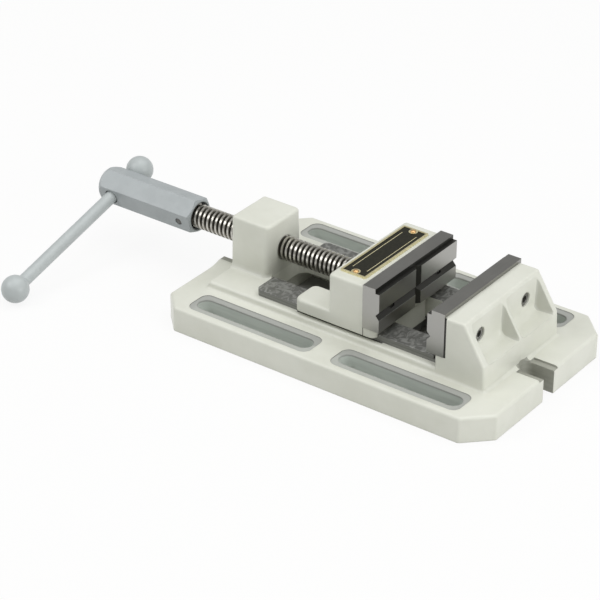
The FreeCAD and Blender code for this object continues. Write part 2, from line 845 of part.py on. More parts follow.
def jaw_bores(body, s, at):
    """Holes in the sliding jaw: screw nose, retaining pins, plate screws, keeper screws and rivets."""
    sketch = new_sketch(body, "nose_bore", "YZ_Plane", at.body_back - 1)
    circle(sketch, 0, s.screw_height, s.nose_diameter / 2 + s.bore_gap)
    pocket(body, sketch, s.nose_reach + s.nose_end_gap + 1, backwards=True)
    sketch = new_sketch(body, "pin_holes", "XY_Plane", at.keeper_top - 1)
    for side in (-1, 1):
        circle(sketch, at.groove_middle, at.pin_offset * side, s.retaining_pin / 2 + s.fit_gap)
    pocket(body, sketch, s.screw_height + s.pin_top_rise + s.stop_gap - at.keeper_top + 1, backwards=True)
    for name, radius, depth in (
        ("plate_screw_holes", s.cap_shank / 2 + s.stop_gap, s.body_depth + OVERSHOOT),
        ("plate_counterbores", s.counterbore / 2, s.counterbore_depth + 1),
    ):
        sketch = new_sketch(body, name, "YZ_Plane", at.body_back - 1)
        for side in (-1, 1):
            circle(sketch, s.plate_screw_spread / 2 * side, at.groove_level, radius)
        pocket(body, sketch, depth, backwards=True)
    sketch = new_sketch(body, "keeper_screw_holes", "XY_Plane", at.keeper_top - 1)
    for side in (-1, 1):
        circle(sketch, at.tongue_middle, s.keeper_screw_spread / 2 * side, s.keeper_shank / 2 + s.fit_gap)
    pocket(body, sketch, s.keeper_grip + s.stop_gap + 1, backwards=True)
    sketch = new_sketch(body, "rivet_holes", "XY_Plane", s.sliding_jaw_level + 1)
    for side in (-1, 1):
        circle(sketch, at.body_middle, at.rivet_offset * side, s.rivet_shank / 2 + s.fit_gap)
    pocket(body, sketch, s.rivet_length + s.stop_gap + 1)


def jaw_plate(doc, s, label, face, outward, hole_level, hole_depth):
    """A hardened jaw plate: top step, long V groove and upright V groove on its working face."""
    body = new_body(doc, label)
    back = face - s.plate_thickness * outward
    low, high = s.seat_level, s.seat_level + s.plate_height
    groove = s.seat_level + s.groove_rise
    sketch = new_sketch(body, label + "_side", "XZ_Plane")
    outline(
        sketch,
        [
            (back, low),
            (face, low),
            (face, groove - s.groove_half),
            (face - s.groove_depth * outward, groove),
            (face, groove + s.groove_half),
            (face, high - s.step_height),
            (face - s.step_depth * outward, high - s.step_height),
            (face - s.step_depth * outward, high),
            (back, high),
        ],
    )
    pad(body, sketch, s.plate_width, symmetric=True)
    sketch = new_sketch(body, label + "_upright_groove", "XY_Plane", low - 1)
    mouth = s.upright_groove_half * (s.upright_groove_depth + 1) / s.upright_groove_depth
    outline(
        sketch,
        [
            (face - s.upright_groove_depth * outward, as_size(0)),
            (face + 1 * outward, -mouth),
            (face + 1 * outward, mouth),
        ],
    )
    pocket(body, sketch, s.plate_height - s.step_height + 1, backwards=True)
    sketch = new_sketch(body, label + "_screw_holes", "YZ_Plane", back - 1 * outward)
    for side in (-1, 1):
        circle(sketch, s.plate_screw_spread / 2 * side, hole_level, s.cap_shank / 2 + s.fit_gap)
    pocket(body, sketch, hole_depth + 1, backwards=outward > 0)
    return body


def keeper_plate(doc, s, at):
    """The plate under the rails that holds the sliding jaw down, screwed to the tongue."""
    body = new_body(doc, "keeper_plate")
    half = s.keeper_width / 2
    sketch = new_sketch(body, "keeper_outline", "XY_Plane", at.keeper_top - s.keeper_thickness)
    rectangle(sketch, at.tongue_back, at.tongue_front, -half, half)
    pad(body, sketch, s.keeper_thickness)
    round_edges(body, "keeper_corners", s.keeper_corner, upright)
    sketch = new_sketch(body, "keeper_holes", "XY_Plane", at.keeper_top + 1)
    for side in (-1, 1):
        circle(sketch, at.tongue_middle, s.keeper_screw_spread / 2 * side, s.keeper_shank / 2 + s.fit_gap)
    pocket(body, sketch, s.keeper_thickness + 2)
    return body


def name_plate(doc, s, at):
    """The plate riveted on the sliding jaw: a raised border and rivet bosses round a sunk, bare field."""
    body = new_body(doc, "name_plate")
    half, run = s.name_plate_width / 2, s.name_plate_length / 2
    top = s.sliding_jaw_level + s.name_plate_thickness
    sketch = new_sketch(body, "name_outline", "XY_Plane", s.sliding_jaw_level)
    rectangle(sketch, at.body_middle - half, at.body_middle + half, -run, run)
    pad(body, sketch, s.name_plate_thickness)
    round_edges(body, "name_corners", s.name_corner, upright)
    sketch = new_sketch(body, "name_field", "XY_Plane", top + 1)
    inner_half, inner_run = half - s.name_field_margin, run - s.name_field_margin
    rectangle(sketch, at.body_middle - inner_half, at.body_middle + inner_half, -inner_run, inner_run)
    pocket(body, sketch, s.name_field_depth + 1)
    sketch = new_sketch(body, "rivet_bosses", "XY_Plane", top - s.name_field_depth)
    for side in (-1, 1):
        circle(sketch, at.body_middle, at.rivet_offset * side, s.rivet_boss / 2)
    pad(body, sketch, s.name_field_depth)
    sketch = new_sketch(body, "name_holes", "XY_Plane", top + 1)
    for side in (-1, 1):
        circle(sketch, at.body_middle, at.rivet_offset * side, s.rivet_shank / 2 + s.fit_gap)
    pocket(body, sketch, s.name_plate_thickness + 2)
    return body


def tilt(body, s):
    """Turns a body drawn about the screw's axis to the angle at which the handle hangs."""
    turned = FreeCAD.Rotation(FreeCAD.Vector(1, 0, 0), s.handle_tilt.number)
    body.Placement = FreeCAD.Placement(FreeCAD.Vector(0, 0, s.screw_height.number), turned)
    bind(body, "Placement.Base.z", s.screw_height)
    bind(body, "Placement.Rotation.Angle", s.handle_tilt)


def lead_screw(doc, s, at):
    """The screw: thread envelope, necked nose with its retaining groove, and the hole for the hub pin."""
    body = new_body(doc, "lead_screw")
    thread, nose, root = s.screw_diameter / 2, s.nose_diameter / 2, s.nose_groove_root / 2
    nose_end = at.body_back + s.nose_reach
    shoulder = at.body_back - s.screw_gap
    groove_half = s.retaining_pin / 2 + s.pin_gap
    sketch = new_sketch(body, "screw_profile", "XZ_Plane")
    outline(
        sketch,
        [
            (at.screw_left, as_size(0)),
            (nose_end, as_size(0)),
            (nose_end, nose - s.nose_chamfer),
            (nose_end - s.nose_chamfer, nose),
            (at.groove_middle + groove_half, nose),
            (at.groove_middle + groove_half, root),
            (at.groove_middle - groove_half, root),
            (at.groove_middle - groove_half, nose),
            (shoulder, nose),
            (shoulder, thread - s.nose_chamfer),
            (shoulder - s.nose_chamfer, thread),
            (at.screw_left, thread),
        ],
    )
    revolve(body, sketch, "H_Axis")
    cross_hole(body, "hub_pin_hole", at.hub_pin, s.hub_pin / 2 + s.fit_gap, s.hub_flats)
    tilt(body, s)
    return body


def cross_hole(body, name, along, radius, span):
    """A hole through the screw's axis, in the direction of the handle."""
    sketch = new_sketch(body, name, "XZ_Plane")
    circle(sketch, along, 0, radius)
    pocket(body, sketch, span + 2, symmetric=True)


def handle_hub(doc, s, at):
    """The hexagonal hub: domed at the handle end, chamfered and bored at the screw end."""
    body = new_body(doc, "handle_hub")
    flat = s.hub_flats / 2
    corner = s.hub_flats * (1 / math.sqrt(3))
    sketch = new_sketch(body, "hub_hexagon", "YZ_Plane", at.hub_left)
    outline(
        sketch,
        [
            (flat, -corner / 2), (flat, corner / 2), (as_size(0), corner),
            (-flat, corner / 2), (-flat, -corner / 2), (as_size(0), -corner),
        ],
    )
    pad(body, sketch, s.hub_length)
    rim = corner + 0.5
    sketch = new_sketch(body, "hub_ends", "XZ_Plane")
    outline(
        sketch,
        [
            (at.hub_left - 1, rim - s.hub_dome),
            (at.hub_left, rim - s.hub_dome),
            (at.hub_left + s.hub_dome, rim, at.hub_left + s.hub_dome, rim - s.hub_dome, -1),
            (at.hub_left + s.hub_dome, rim + 1),
            (at.hub_left - 1, rim + 1),
        ],
    )
    outline(
        sketch,
        [
            (at.hub_right - s.hub_chamfer_run, corner),
            (at.hub_right, corner - s.hub_chamfer_rise),
            (at.hub_right + 1, corner - s.hub_chamfer_rise),
            (at.hub_right + 1, rim + 1),
            (at.hub_right - s.hub_chamfer_run, rim + 1),
        ],
    )
    revolve(body, sketch, "H_Axis", "Groove")
    sketch = new_sketch(body, "hub_bore", "YZ_Plane", at.hub_right + 1)
    circle(sketch, 0, 0, s.screw_diameter / 2 + s.fit_gap)
    pocket(body, sketch, s.hub_bore_depth + 1)
    cross_hole(body, "hub_pin_seat", at.hub_pin, s.hub_pin / 2 + s.fit_gap, s.hub_flats)
    cross_hole(body, "handle_hole", at.handle, s.handle_bar / 2 + s.handle_gap, s.hub_flats)
    tilt(body, s)
    return body


def cross_bar(doc, s, label, along, start, stop, radius):
    """A round bar across the screw's axis, from start to stop on the handle's own line."""
    body = new_body(doc, label)
    sketch = new_sketch(body, label + "_round", "XZ_Plane", -stop)
    circle(sketch, along, 0, radius)
    pad(body, sketch, stop - start)
    tilt(body, s)
    return body


def handle_ball(doc, s, at, label, middle, outward):
    """A ball on one end of the bar, drilled from the hub's side."""
    body = new_body(doc, label)
    radius = s.ball_diameter / 2
    sketch = new_sketch(body, label + "_half", "XY_Plane", across=at.handle)
    outline(sketch, [(0, middle - radius), (0, middle + radius, 0, middle, 1)])
    revolve(body, sketch, "V_Axis")
    floor = middle + s.ball_grip * outward
    sketch = new_sketch(body, label + "_hole", "XZ_Plane", -floor)
    circle(sketch, at.handle, 0, s.handle_bar / 2 + s.fit_gap)
    pocket(body, sketch, s.ball_grip + radius + 1, backwards=outward > 0)
    tilt(body, s)
    return body


def set_down(item, x, y, z, facing):
    """Puts a primitive's base at a point, with its own Z axis along a direction."""
    rotation = FreeCAD.Rotation(FreeCAD.Vector(0, 0, 1), FreeCAD.Vector(*facing))
    item.Placement = FreeCAD.Placement(FreeCAD.Vector(), rotation)
    for letter, size in (("x", x), ("y", y), ("z", z)):
        bind(item, "Placement.Base." + letter, size)


def cylinder(doc, name, radius, height, x, y, z, facing=(0, 0, 1)):
    """A cylinder with its foot at a point, standing along a direction."""
    item = doc.addObject("Part::Cylinder", name)
    bind(item, "Radius", radius)
    bind(item, "Height", height)
    set_down(item, x, y, z, facing)
    return item


def joined(doc, name, *shapes):
    """Solids fused into one."""
    item = doc.addObject("Part::MultiFuse", name)
    item.Shapes = list(shapes)
    return item


def group(doc, label, solids):
    """Holds separate, identical solids under one label."""
    item = doc.addObject("Part::Compound", label)
    item.Label = label
    item.Links = solids
    return item


def cap_screws(doc, s, label, seat, level, facing, length):
    """Two cylinder-headed screws along X, each head behind its seat, each shank along facing."""
    solids = []
    for number, side in enumerate((-1, 1)):
        across = s.plate_screw_spread / 2 * side
        name = f"{label}_{number}"
        head = cylinder(
            doc, name + "_head", s.cap_head / 2, s.cap_head_height,
            seat - s.cap_head_height * facing, across, level, (1, 0, 0),
        )
        if facing < 0:
            bind(head, "Placement.Base.x", seat)
        shank = cylinder(doc, name + "_shank", s.cap_shank / 2, length, seat, across, level, (facing, 0, 0))
        solids.append(joined(doc, name, head, shank))
    return group(doc, label, solids)


def washers(doc, label, outer, inner, thickness, places, facing):
    """One ring at each place."""
    solids = []
    for number, place in enumerate(places):
        name = f"{label}_{number}"
        disc = cylinder(doc, name + "_disc", outer / 2, thickness, *place, facing)
        hole = cylinder(doc, name + "_hole", inner / 2, thickness, *place, facing)
        ring = doc.addObject("Part::Cut", name)
        ring.Base = disc
        ring.Tool = hole
        solids.append(ring)
    return group(doc, label, solids)


def keeper_screws(doc, s, at):
    """Two hexagon-headed screws that come up through the keeper plate into the tongue."""
    solids = []
    seat = at.keeper_top - s.keeper_thickness - s.washer_thickness
    for number, side in enumerate((-1, 1)):
        across = s.keeper_screw_spread / 2 * side
        head = doc.addObject("Part::Prism", f"keeper_head_{number}")
        head.Polygon = 6
        bind(head, "Circumradius", s.keeper_head * (1 / math.sqrt(3)))
        bind(head, "Height", s.keeper_head_height)
        set_down(head, at.tongue_middle, across, seat - s.keeper_head_height, (0, 0, 1))
        length = s.washer_thickness + s.keeper_thickness + s.keeper_grip
        shank = cylinder(
            doc, f"keeper_shank_{number}", s.keeper_shank / 2, length, at.tongue_middle, across, seat,
        )
        solids.append(joined(doc, f"keeper_screw_{number}", head, shank))
    return group(doc, "keeper_screws", solids)


def retaining_pins(doc, s, at):
    """The two pins that stand in the sliding jaw on either side of the screw's groove."""
    solids = []
    for number, side in enumerate((-1, 1)):
        height = s.screw_height + s.pin_top_rise - at.keeper_top
        across = at.pin_offset * side
        name = f"retaining_pin_{number}"
        solids.append(cylinder(doc, name, s.retaining_pin / 2, height, at.groove_middle, across, at.keeper_top))
    return group(doc, "screw_retaining_pins", solids)


def name_plate_rivets(doc, s, at):
    """Two rivets, each with a low tapering head on the name plate and its shank down in the jaw."""
    solids = []
    top = s.sliding_jaw_level + s.name_plate_thickness
    for number, side in enumerate((-1, 1)):
        across = at.rivet_offset * side
        name = f"rivet_{number}"
        head = doc.addObject("Part::Cone", name + "_head")
        bind(head, "Radius1", s.rivet_head / 2)
        bind(head, "Radius2", s.rivet_head * 0.3)
        bind(head, "Height", s.rivet_head_height)
        set_down(head, at.body_middle, across, top, (0, 0, 1))
        foot = top - s.rivet_length
        shank = cylinder(doc, name + "_shank", s.rivet_shank / 2, s.rivet_length, at.body_middle, across, foot)
        solids.append(joined(doc, name, head, shank))
    return group(doc, "name_plate_rivets", solids)


def fixed_plate_fasteners(doc, s, at):
    """Cap screws and washers that hold the fixed jaw plate from behind."""
    seat = at.pocket_wall - s.counterbore_depth
    head_seat = seat + s.washer_thickness
    reach = head_seat - at.fixed_back + s.plate_thread_depth - s.stop_gap
    places = [(seat, s.plate_screw_spread / 2 * side, s.fixed_screw_level) for side in (-1, 1)]
    return [
        cap_screws(doc, s, "fixed_plate_screws", head_seat, s.fixed_screw_level, -1, reach),
        washers(
            doc, "fixed_plate_washers", s.counterbore - 2 * s.stop_gap, s.cap_shank + 2 * s.stop_gap,
            s.washer_thickness, places, (1, 0, 0),
        ),
    ]


def sliding_jaw_fasteners(doc, s, at):
    """The sliding jaw's cap screws, keeper screws and washers, retaining pins and rivets."""
    seat = at.body_back + s.counterbore_depth
    reach = at.moving_face - s.groove_depth - s.stop_gap - seat
    under = at.keeper_top - s.keeper_thickness - s.washer_thickness
    places = [(at.tongue_middle, s.keeper_screw_spread / 2 * side, under) for side in (-1, 1)]
    return [
        cap_screws(doc, s, "movable_plate_screws", seat, at.groove_level, 1, reach),
        keeper_screws(doc, s, at),
        washers(
            doc, "keeper_washers", s.keeper_washer, s.keeper_shank + 2 * s.stop_gap, s.washer_thickness,
            places, (0, 0, 1),
        ),
        retaining_pins(doc, s, at),
        name_plate_rivets(doc, s, at),
    ]


def build_all(doc):
    """Every sub-part, in the frame of the whole vise."""
    s = Named(fill_sheet(doc))
    at = Layout(s)
    plate_hole = s.plate_thickness - s.groove_depth + s.groove_break
    pin_half = s.hub_flats / 2 - s.stop_gap
    pieces = [
        base_casting(doc, s, at),
        jaw_plate(doc, s, "fixed_jaw_plate", s.fixed_face, -1, s.fixed_screw_level, s.plate_thread_depth),
        sliding_jaw(doc, s, at),
        jaw_plate(doc, s, "movable_jaw_plate", at.moving_face, 1, at.groove_level, plate_hole),
        keeper_plate(doc, s, at),
        name_plate(doc, s, at),
        lead_screw(doc, s, at),
        handle_hub(doc, s, at),
        cross_bar(doc, s, "hub_cross_pin", at.hub_pin, -pin_half, pin_half, s.hub_pin / 2),
        cross_bar(
            doc, s, "handle_bar", at.handle, -s.handle_reach - s.ball_grip, at.upper_ball + s.ball_grip,
            s.handle_bar / 2,
        ),
        handle_ball(doc, s, at, "handle_ball_lower", -s.handle_reach, -1),
        handle_ball(doc, s, at, "handle_ball_upper", at.upper_ball, 1),
    ]
    return pieces + fixed_plate_fasteners(doc, s, at) + sliding_jaw_fasteners(doc, s, at)


def main():
    """Builds the document, makes sure of every sub-part and writes each to its own STEP file."""
    doc = FreeCAD.newDocument("drill_press_vise")
    pieces = build_all(doc)
    doc.recompute()
    for item in doc.Objects:
        if "Invalid" in item.State or "Error" in item.State:
            raise ValueError(f"{item.Name}: {item.State}")
    os.makedirs("parts", exist_ok=True)
    for piece in pieces:
        if piece.Shape.isNull() or not piece.Shape.isValid():
            raise ValueError(f"{piece.Label} is not sound")
        piece.Shape.exportStep(f"parts/{piece.Label}.step")
        box = piece.Shape.BoundBox
        low = [round(value, 2) for value in (box.XMin, box.YMin, box.ZMin)]
        high = [round(value, 2) for value in (box.XMax, box.YMax, box.ZMax)]
        print(piece.Label, len(piece.Shape.Solids), round(piece.Shape.Volume), low, high)


main()
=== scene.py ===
"""Drill press vise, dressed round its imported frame.

Units are metres, in the frame's own axes: X along the screw towards the fixed jaw, Y across the
jaws, Z up, with the origin on the base's underside at the middle of the four side slots.
"""

import json
import math

import bmesh
import bpy
import numpy as np
from mathutils import Matrix, Vector


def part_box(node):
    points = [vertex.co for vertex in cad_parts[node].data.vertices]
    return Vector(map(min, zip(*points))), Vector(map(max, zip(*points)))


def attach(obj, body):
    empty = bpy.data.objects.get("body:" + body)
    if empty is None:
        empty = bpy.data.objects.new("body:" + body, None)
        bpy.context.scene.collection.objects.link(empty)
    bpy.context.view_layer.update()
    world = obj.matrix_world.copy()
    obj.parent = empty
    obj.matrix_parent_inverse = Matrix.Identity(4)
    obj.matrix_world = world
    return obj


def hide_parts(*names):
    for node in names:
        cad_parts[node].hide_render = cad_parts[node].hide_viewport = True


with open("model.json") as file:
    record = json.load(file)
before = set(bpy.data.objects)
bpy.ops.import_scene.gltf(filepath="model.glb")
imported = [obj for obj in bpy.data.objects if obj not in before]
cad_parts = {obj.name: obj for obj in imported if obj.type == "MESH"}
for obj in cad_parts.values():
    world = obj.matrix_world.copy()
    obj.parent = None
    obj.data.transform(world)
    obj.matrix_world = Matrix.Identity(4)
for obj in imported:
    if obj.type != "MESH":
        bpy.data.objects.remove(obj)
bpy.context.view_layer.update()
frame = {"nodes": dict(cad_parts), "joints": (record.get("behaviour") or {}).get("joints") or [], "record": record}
NODES = frame["nodes"]

MM = 0.001
ROUND = 64  # columns round a turned piece
TURNED_SHARP = 30.0  # degrees, over which an edge of a turned piece shades as a sharp one
COPIED_SHARP = 28.0  # the same for a copied node
BEVEL_SHARP = 32.0  # over which an edge gets a bevel


# ---------------------------------------------------------------- places read from the frame


def corners(node):
    """The lowest and highest corner of a node, as arrays."""
    low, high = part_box(node)
    return np.array(low), np.array(high)


def middle(node):
    """The middle of a node's box."""
    low, high = corners(node)
    return (low + high) / 2


def joint(name):
    """A joint's entry in the frame."""
    return next(item for item in frame["joints"] if item["name"] == name)


SCREW_Z = joint("screw_turn")["pos_m"][2]
HANDLE_AXIS = np.array(joint("handle_slide")["axis"], float)
ALONG_SCREW = np.array([1.0, 0.0, 0.0])
UP = np.array([0.0, 0.0, 1.0])
PAIR = (-1, 1)

base_low, base_high = corners("base_casting")
fixed_plate_low, fixed_plate_high = corners("fixed_jaw_plate")
sliding_plate_low, sliding_plate_high = corners("movable_jaw_plate")

# levels of the base casting
FLANGE_TOP = 20.6 * MM
PLINTH_TOP = 26.5 * MM
PLATE_SEAT = 37.4 * MM

# the shallow ledge round a side slot: beside it, past its ends, and the bend of its corners
LEDGE_WIDTH = 5.25 * MM
LEDGE_END = 3.25 * MM
LEDGE_BEND = 7.0 * MM
LEDGE_DROP = (2.2 * MM, 1.6 * MM)  # below the flange's top, where a slot's wall becomes its ledge

# how far the end slots and their ledges reach in from the base's ends
JAW_END_LEDGE = 20.35 * MM
HANDLE_END_LEDGE = 17.55 * MM
JAW_END_SLOT = 24.5 * MM
END_CUT_TOP = FLANGE_TOP + 2.1 * MM

# the rails
RAIL_SIDES = (23.02 * MM, 45.05 * MM)  # from the middle plane
RAIL_ENDS = (-83.7 * MM, 81.8 * MM)
RAIL_FOOT = 26.6 * MM
RAIL_EDGE = (31.2 * MM, 31.9 * MM)  # levels between side and top

PICKED = 0.1 * MM  # slack when the points of a face are picked

# the nut block: as in its node, and as shown
BLOCK_RIGHT = base_low[0] + 55.0 * MM
BLOCK_HALF = 21.7 * MM
BLOCK_CORNER = 9.0 * MM
BLOCK_CORE = 4.0 * MM  # from a corner's centre, within which nothing is moved
BLOCK_FOOT = 5.0 * MM  # radius of the fillet round its foot
SHOWN_BLOCK_CORNER = 5.0 * MM
NUT_BORE = 9.05 * MM
BORE_GROWTH = 1.07

# the fixed jaw's back
FIXED_SEAT = fixed_plate_high[0]  # the upright face behind the plate
PLATE_EASE = 0.45 * MM
JAW_BACK = FIXED_SEAT + 16.0 * MM
JAW_TOP = 70.3 * MM
BACK_SLOPE = 18.0 / 29.3
POCKET_WALL = FIXED_SEAT + 17.5 * MM
POCKET_FLOOR = 39.8 * MM
POCKET_BEND = 3.0 * MM  # radius of the pockets' corners
RIB_HALF = 3.6 * MM
OUTER_WALL = 43.2 * MM
THINNED_DEPTH = 10.0 * MM  # inside the slope, where the walls' shift has faded out
WALL_SHIFTS = (
    # a pocket wall's y, its side of the middle plane, its pocket's side of it, its shift
    (-RIB_HALF, -1, -1, 1.7 * MM),
    (RIB_HALF, 1, 1, -3.0 * MM),
    (-OUTER_WALL, -1, 1, -1.5 * MM),
    (OUTER_WALL, 1, -1, 1.5 * MM),
)

# the handle and its hub
bar_low, bar_high = corners("handle_bar")
handle_x = (bar_low[0] + bar_high[0]) / 2
screw_axis_at_handle = np.array([handle_x, 0.0, SCREW_Z])
BAR_RADIUS = (bar_high[0] - bar_low[0]) / 2
SHOWN_BAR_RADIUS = BAR_RADIUS * 1.13
SHOWN_CROSS_HOLE = 5.9 * MM
HUB_END = corners("handle_hub")[1][0]
HUB_CHAMFER = 4.2 * MM  # from the end at the screw, a little past its chamfer
HUB_GROWTH = 1.035
HUB_LONGER = 1.0 * MM  # beyond the handle
HUB_SHORTER = 1.2 * MM  # at the screw
HUB_MOUTH = 11.0 * MM  # radius of the bore's cone at that end
PIN_GROWTH = 1.25


# ---------------------------------------------------------------- surfaces


def mesh_piece(name, points, faces, body, nodes, finish):
    """A piece from its points and faces, with smooth shading that breaks at edges over an angle."""
    mesh = bpy.data.meshes.new(name)
    mesh.from_pydata(np.asarray(points, float).reshape(-1, 3).tolist(), [], faces)
    cleaned = bmesh.new()
    cleaned.from_mesh(mesh)
    bmesh.ops.remove_doubles(cleaned, verts=cleaned.verts, dist=1e-7)
    bmesh.ops.dissolve_degenerate(cleaned, edges=cleaned.edges, dist=1e-8)
    bmesh.ops.recalc_face_normals(cleaned, faces=cleaned.faces)
    cleaned.to_mesh(mesh)
    cleaned.free()
    mesh.polygons.foreach_set("use_smooth", np.ones(len(mesh.polygons), bool))
    mesh.set_sharp_from_angle(angle=math.radians(TURNED_SHARP))
    mesh.materials.append(finish)
    piece = bpy.data.objects.new(name, mesh)
    bpy.context.scene.collection.objects.link(piece)
    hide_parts(*nodes)
    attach(piece, body)


def grid_faces(rows, ring):
    """Quads between rows of points whose columns close; in a ring the rows close too."""
    row = np.arange(rows if ring else rows - 1)[:, None]
    column = np.arange(ROUND)[None, :]
    beside = (column + 1) % ROUND
    here, after = row * ROUND, (row + 1) % rows * ROUND
    quads = np.stack([here + column, here + beside, after + beside, after + column], axis=-1)
    return quads.reshape(-1, 4).tolist()


def directions(axis):
    """An axis made one long, and two unit vectors across it."""
    axis = np.asarray(axis, float) / np.linalg.norm(axis)
    across = np.cross(UP, axis) if abs(axis[2]) < 0.9 else np.array([1.0, 0.0, 0.0])
    across = across / np.linalg.norm(across)
    return axis, across, np.cross(axis, across)


def turned(profile, origin, axis, ring=False):
    """Points and faces of a turned form.

    The point at profile row i and angle a is origin + along_i * axis + radius_i(a) *
    (cos a * across + sin a * beyond), where a radius may be one number or one for every angle.
    """
    axis, across, beyond = directions(axis)
    angle = np.arange(ROUND) * 2 * math.pi / ROUND
    spoke = np.cos(angle)[:, None] * across + np.sin(angle)[:, None] * beyond
    along = np.array([row[0] for row in profile], float)
    radius = np.array([np.broadcast_to(row[1], ROUND) for row in profile], float)
    points = np.asarray(origin, float) + along[:, None, None] * axis + radius[:, :, None] * spoke
    return points.reshape(-1, 3), grid_faces(len(profile), ring)


def hexagon(across_flats):
    """A hexagon's radius at each angle: half its width / cos(angle from a flat's middle)."""
    angle = np.arange(ROUND) * 2 * math.pi / ROUND
    return across_flats / 2 / np.cos((angle + math.pi / 6) % (math.pi / 3) - math.pi / 6)


def several(name, forms, body, nodes, finish):
    """One piece from several closed forms."""
    points, faces = [], []
    count = 0
    for form_points, form_faces in forms:
        points.append(form_points)
        faces += [[corner + count for corner in face] for face in form_faces]
        count += len(form_points)
    mesh_piece(name, np.concatenate(points), faces, body, nodes, finish)


def smooth_copy(node, body, finish, reshape=None):
    """The node's own form with its triangles joined, so that rounded edges shade smoothly.

    A reshape takes all points at once and gives them back a little moved.
    """
    mesh = NODES[node].data
    points = np.empty(len(mesh.vertices) * 3)
    mesh.vertices.foreach_get("co", points)
    if reshape:
        points = reshape(points.reshape(-1, 3))
    faces = [list(face.vertices) for face in mesh.polygons]
    copied = bmesh.new()
    plain = bpy.data.meshes.new(node + "_plain")
    plain.from_pydata(points.reshape(-1, 3).tolist(), [], faces)
    copied.from_mesh(plain)
    bmesh.ops.remove_doubles(copied, verts=copied.verts, dist=2e-6)
    copied.to_mesh(plain)
    copied.free()
    plain.polygons.foreach_set("use_smooth", np.ones(len(plain.polygons), bool))
    plain.set_sharp_from_angle(angle=math.radians(COPIED_SHARP))
    plain.materials.append(finish)
    piece = bpy.data.objects.new(node + "_body", plain)
    bpy.context.scene.collection.objects.link(piece)
    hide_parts(node)
    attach(piece, body)
    return piece


def eased(piece, width):
    """Small bevels along the sharp edges, which catch the light."""
    bevel = piece.modifiers.new("eased", "BEVEL")
    bevel.width = width
    bevel.segments = 2
    bevel.limit_method = "ANGLE"
    bevel.angle_limit = math.radians(BEVEL_SHARP)
    bevel.harden_normals = True


# ---------------------------------------------------------------- finishes


class Finish:
    """A material being put together, with short calls for the nodes that it uses."""

    def __init__(self, name, **sockets):
        self.material = bpy.data.materials.new(name)
        self.material.use_nodes = True
        self.tree = self.material.node_tree
        self.shader = self.tree.nodes["Principled BSDF"]
        for socket, value in sockets.items():
            self.shader.inputs[socket.replace("_", " ")].default_value = value
        self.place = self.tree.nodes.new("ShaderNodeTexCoord").outputs["Object"]

    def link(self, source, target):
        """Joins an output to an input, or gives the input a plain value."""
        if hasattr(source, "is_output"):
            self.tree.links.new(source, target)
        else:
            target.default_value = source

    def node(self, kind, output, inputs, **settings):
        """A new node's output, with its inputs linked or set."""
        made = self.tree.nodes.new("ShaderNode" + kind)
        for setting, value in settings.items():
            setattr(made, setting, value)
        for socket, value in inputs.items():
            self.link(value, made.inputs[socket])
        return made.outputs[output]

    def stretched(self, scale, turn=(0.0, 0.0, 0.0)):
        """Object coordinates, scaled and turned."""
        inputs = {"Vector": self.place, "Scale": scale, "Rotation": turn}
        return self.node("Mapping", "Vector", inputs)

    def noise(self, scale, detail=3.0, roughness=0.55, where=None, **more):
        """Noise between 0 and 1, in Object coordinates unless others are given."""
        vector = self.place if where is None else where
        return self.node(
            "TexNoise", "Fac",
            {"Vector": vector, "Scale": scale, "Detail": detail, "Roughness": roughness, **more},
        )

    def sums(self, operation, first, second=0.0, third=None):
        inputs = {0: first, 1: second}
        if third is not None:
            inputs[2] = third
        return self.node("Math", "Value", inputs, operation=operation)

    def minus(self, first, second):
        return self.sums("SUBTRACT", first, second)

    def size(self, value):
        return self.sums("ABSOLUTE", value)

    def both(self, first, *others):
        """The product of masks: 1 where all of them are 1."""
        for other in others:
            first = self.sums("MULTIPLY", first, other)
        return first

    def either(self, first, *others):
        """The largest of masks: 1 where any of them is 1."""
        for other in others:
            first = self.sums("MAXIMUM", first, other)
        return first

    def above(self, value, bound):
        return self.sums("GREATER_THAN", value, bound)

    def below(self, value, bound):
        return self.sums("LESS_THAN", value, bound)

    def inside(self, value, low, high):
        return self.both(self.above(value, low), self.below(value, high))

    def steps(self, value, low, high, bottom=0.0, top=1.0):
        """A smooth step from bottom to top as the value goes from low to high."""
        return self.node(
            "MapRange", "Result",
            {"Value": value, "From Min": low, "From Max": high, "To Min": bottom, "To Max": top},
            interpolation_type="SMOOTHSTEP",
        )

    def blend(self, share, first, second):
        """The first colour where a share is 0, the second where it is 1."""
        made = self.tree.nodes.new("ShaderNodeMix")
        made.data_type = "RGBA"
        self.link(share, made.inputs[0])
        self.link(first, made.inputs[6])
        self.link(second, made.inputs[7])
        return made.outputs[2]

    def mottled(self, pattern, first, second, low=0.3, high=0.7):
        """Two colours, parted by a smooth step of a pattern."""
        return self.blend(self.steps(pattern, low, high), first, second)

    def axes(self):
        """The three Object coordinates, in metres."""
        split = self.tree.nodes.new("ShaderNodeSeparateXYZ")
        self.tree.links.new(self.place, split.inputs[0])
        return split.outputs

    def colour(self, source):
        self.link(source, self.shader.inputs["Base Color"])

    def roughness(self, source):
        self.link(source, self.shader.inputs["Roughness"])

    def relief(self, height, depth, edge=0.0):
        """Bump by a height between 0 and 1 times a depth, over edges softened by a radius."""
        bump = self.tree.nodes.new("ShaderNodeBump")
        bump.inputs["Strength"].default_value = 1.0
        bump.inputs["Distance"].default_value = depth
        self.tree.links.new(height, bump.inputs["Height"])
        if edge:
            softened = self.tree.nodes.new("ShaderNodeBevel")
            softened.samples = 6
            softened.inputs["Radius"].default_value = edge
            self.tree.links.new(softened.outputs[0], bump.inputs["Normal"])
        self.tree.links.new(bump.outputs[0], self.shader.inputs["Normal"])


def grey(level, warm):
    """A near-neutral colour: a level with a little less blue, the warmer it is."""
    return (level, level * (1 - 0.02 * warm), level * (1 - 0.12 * warm), 1.0)


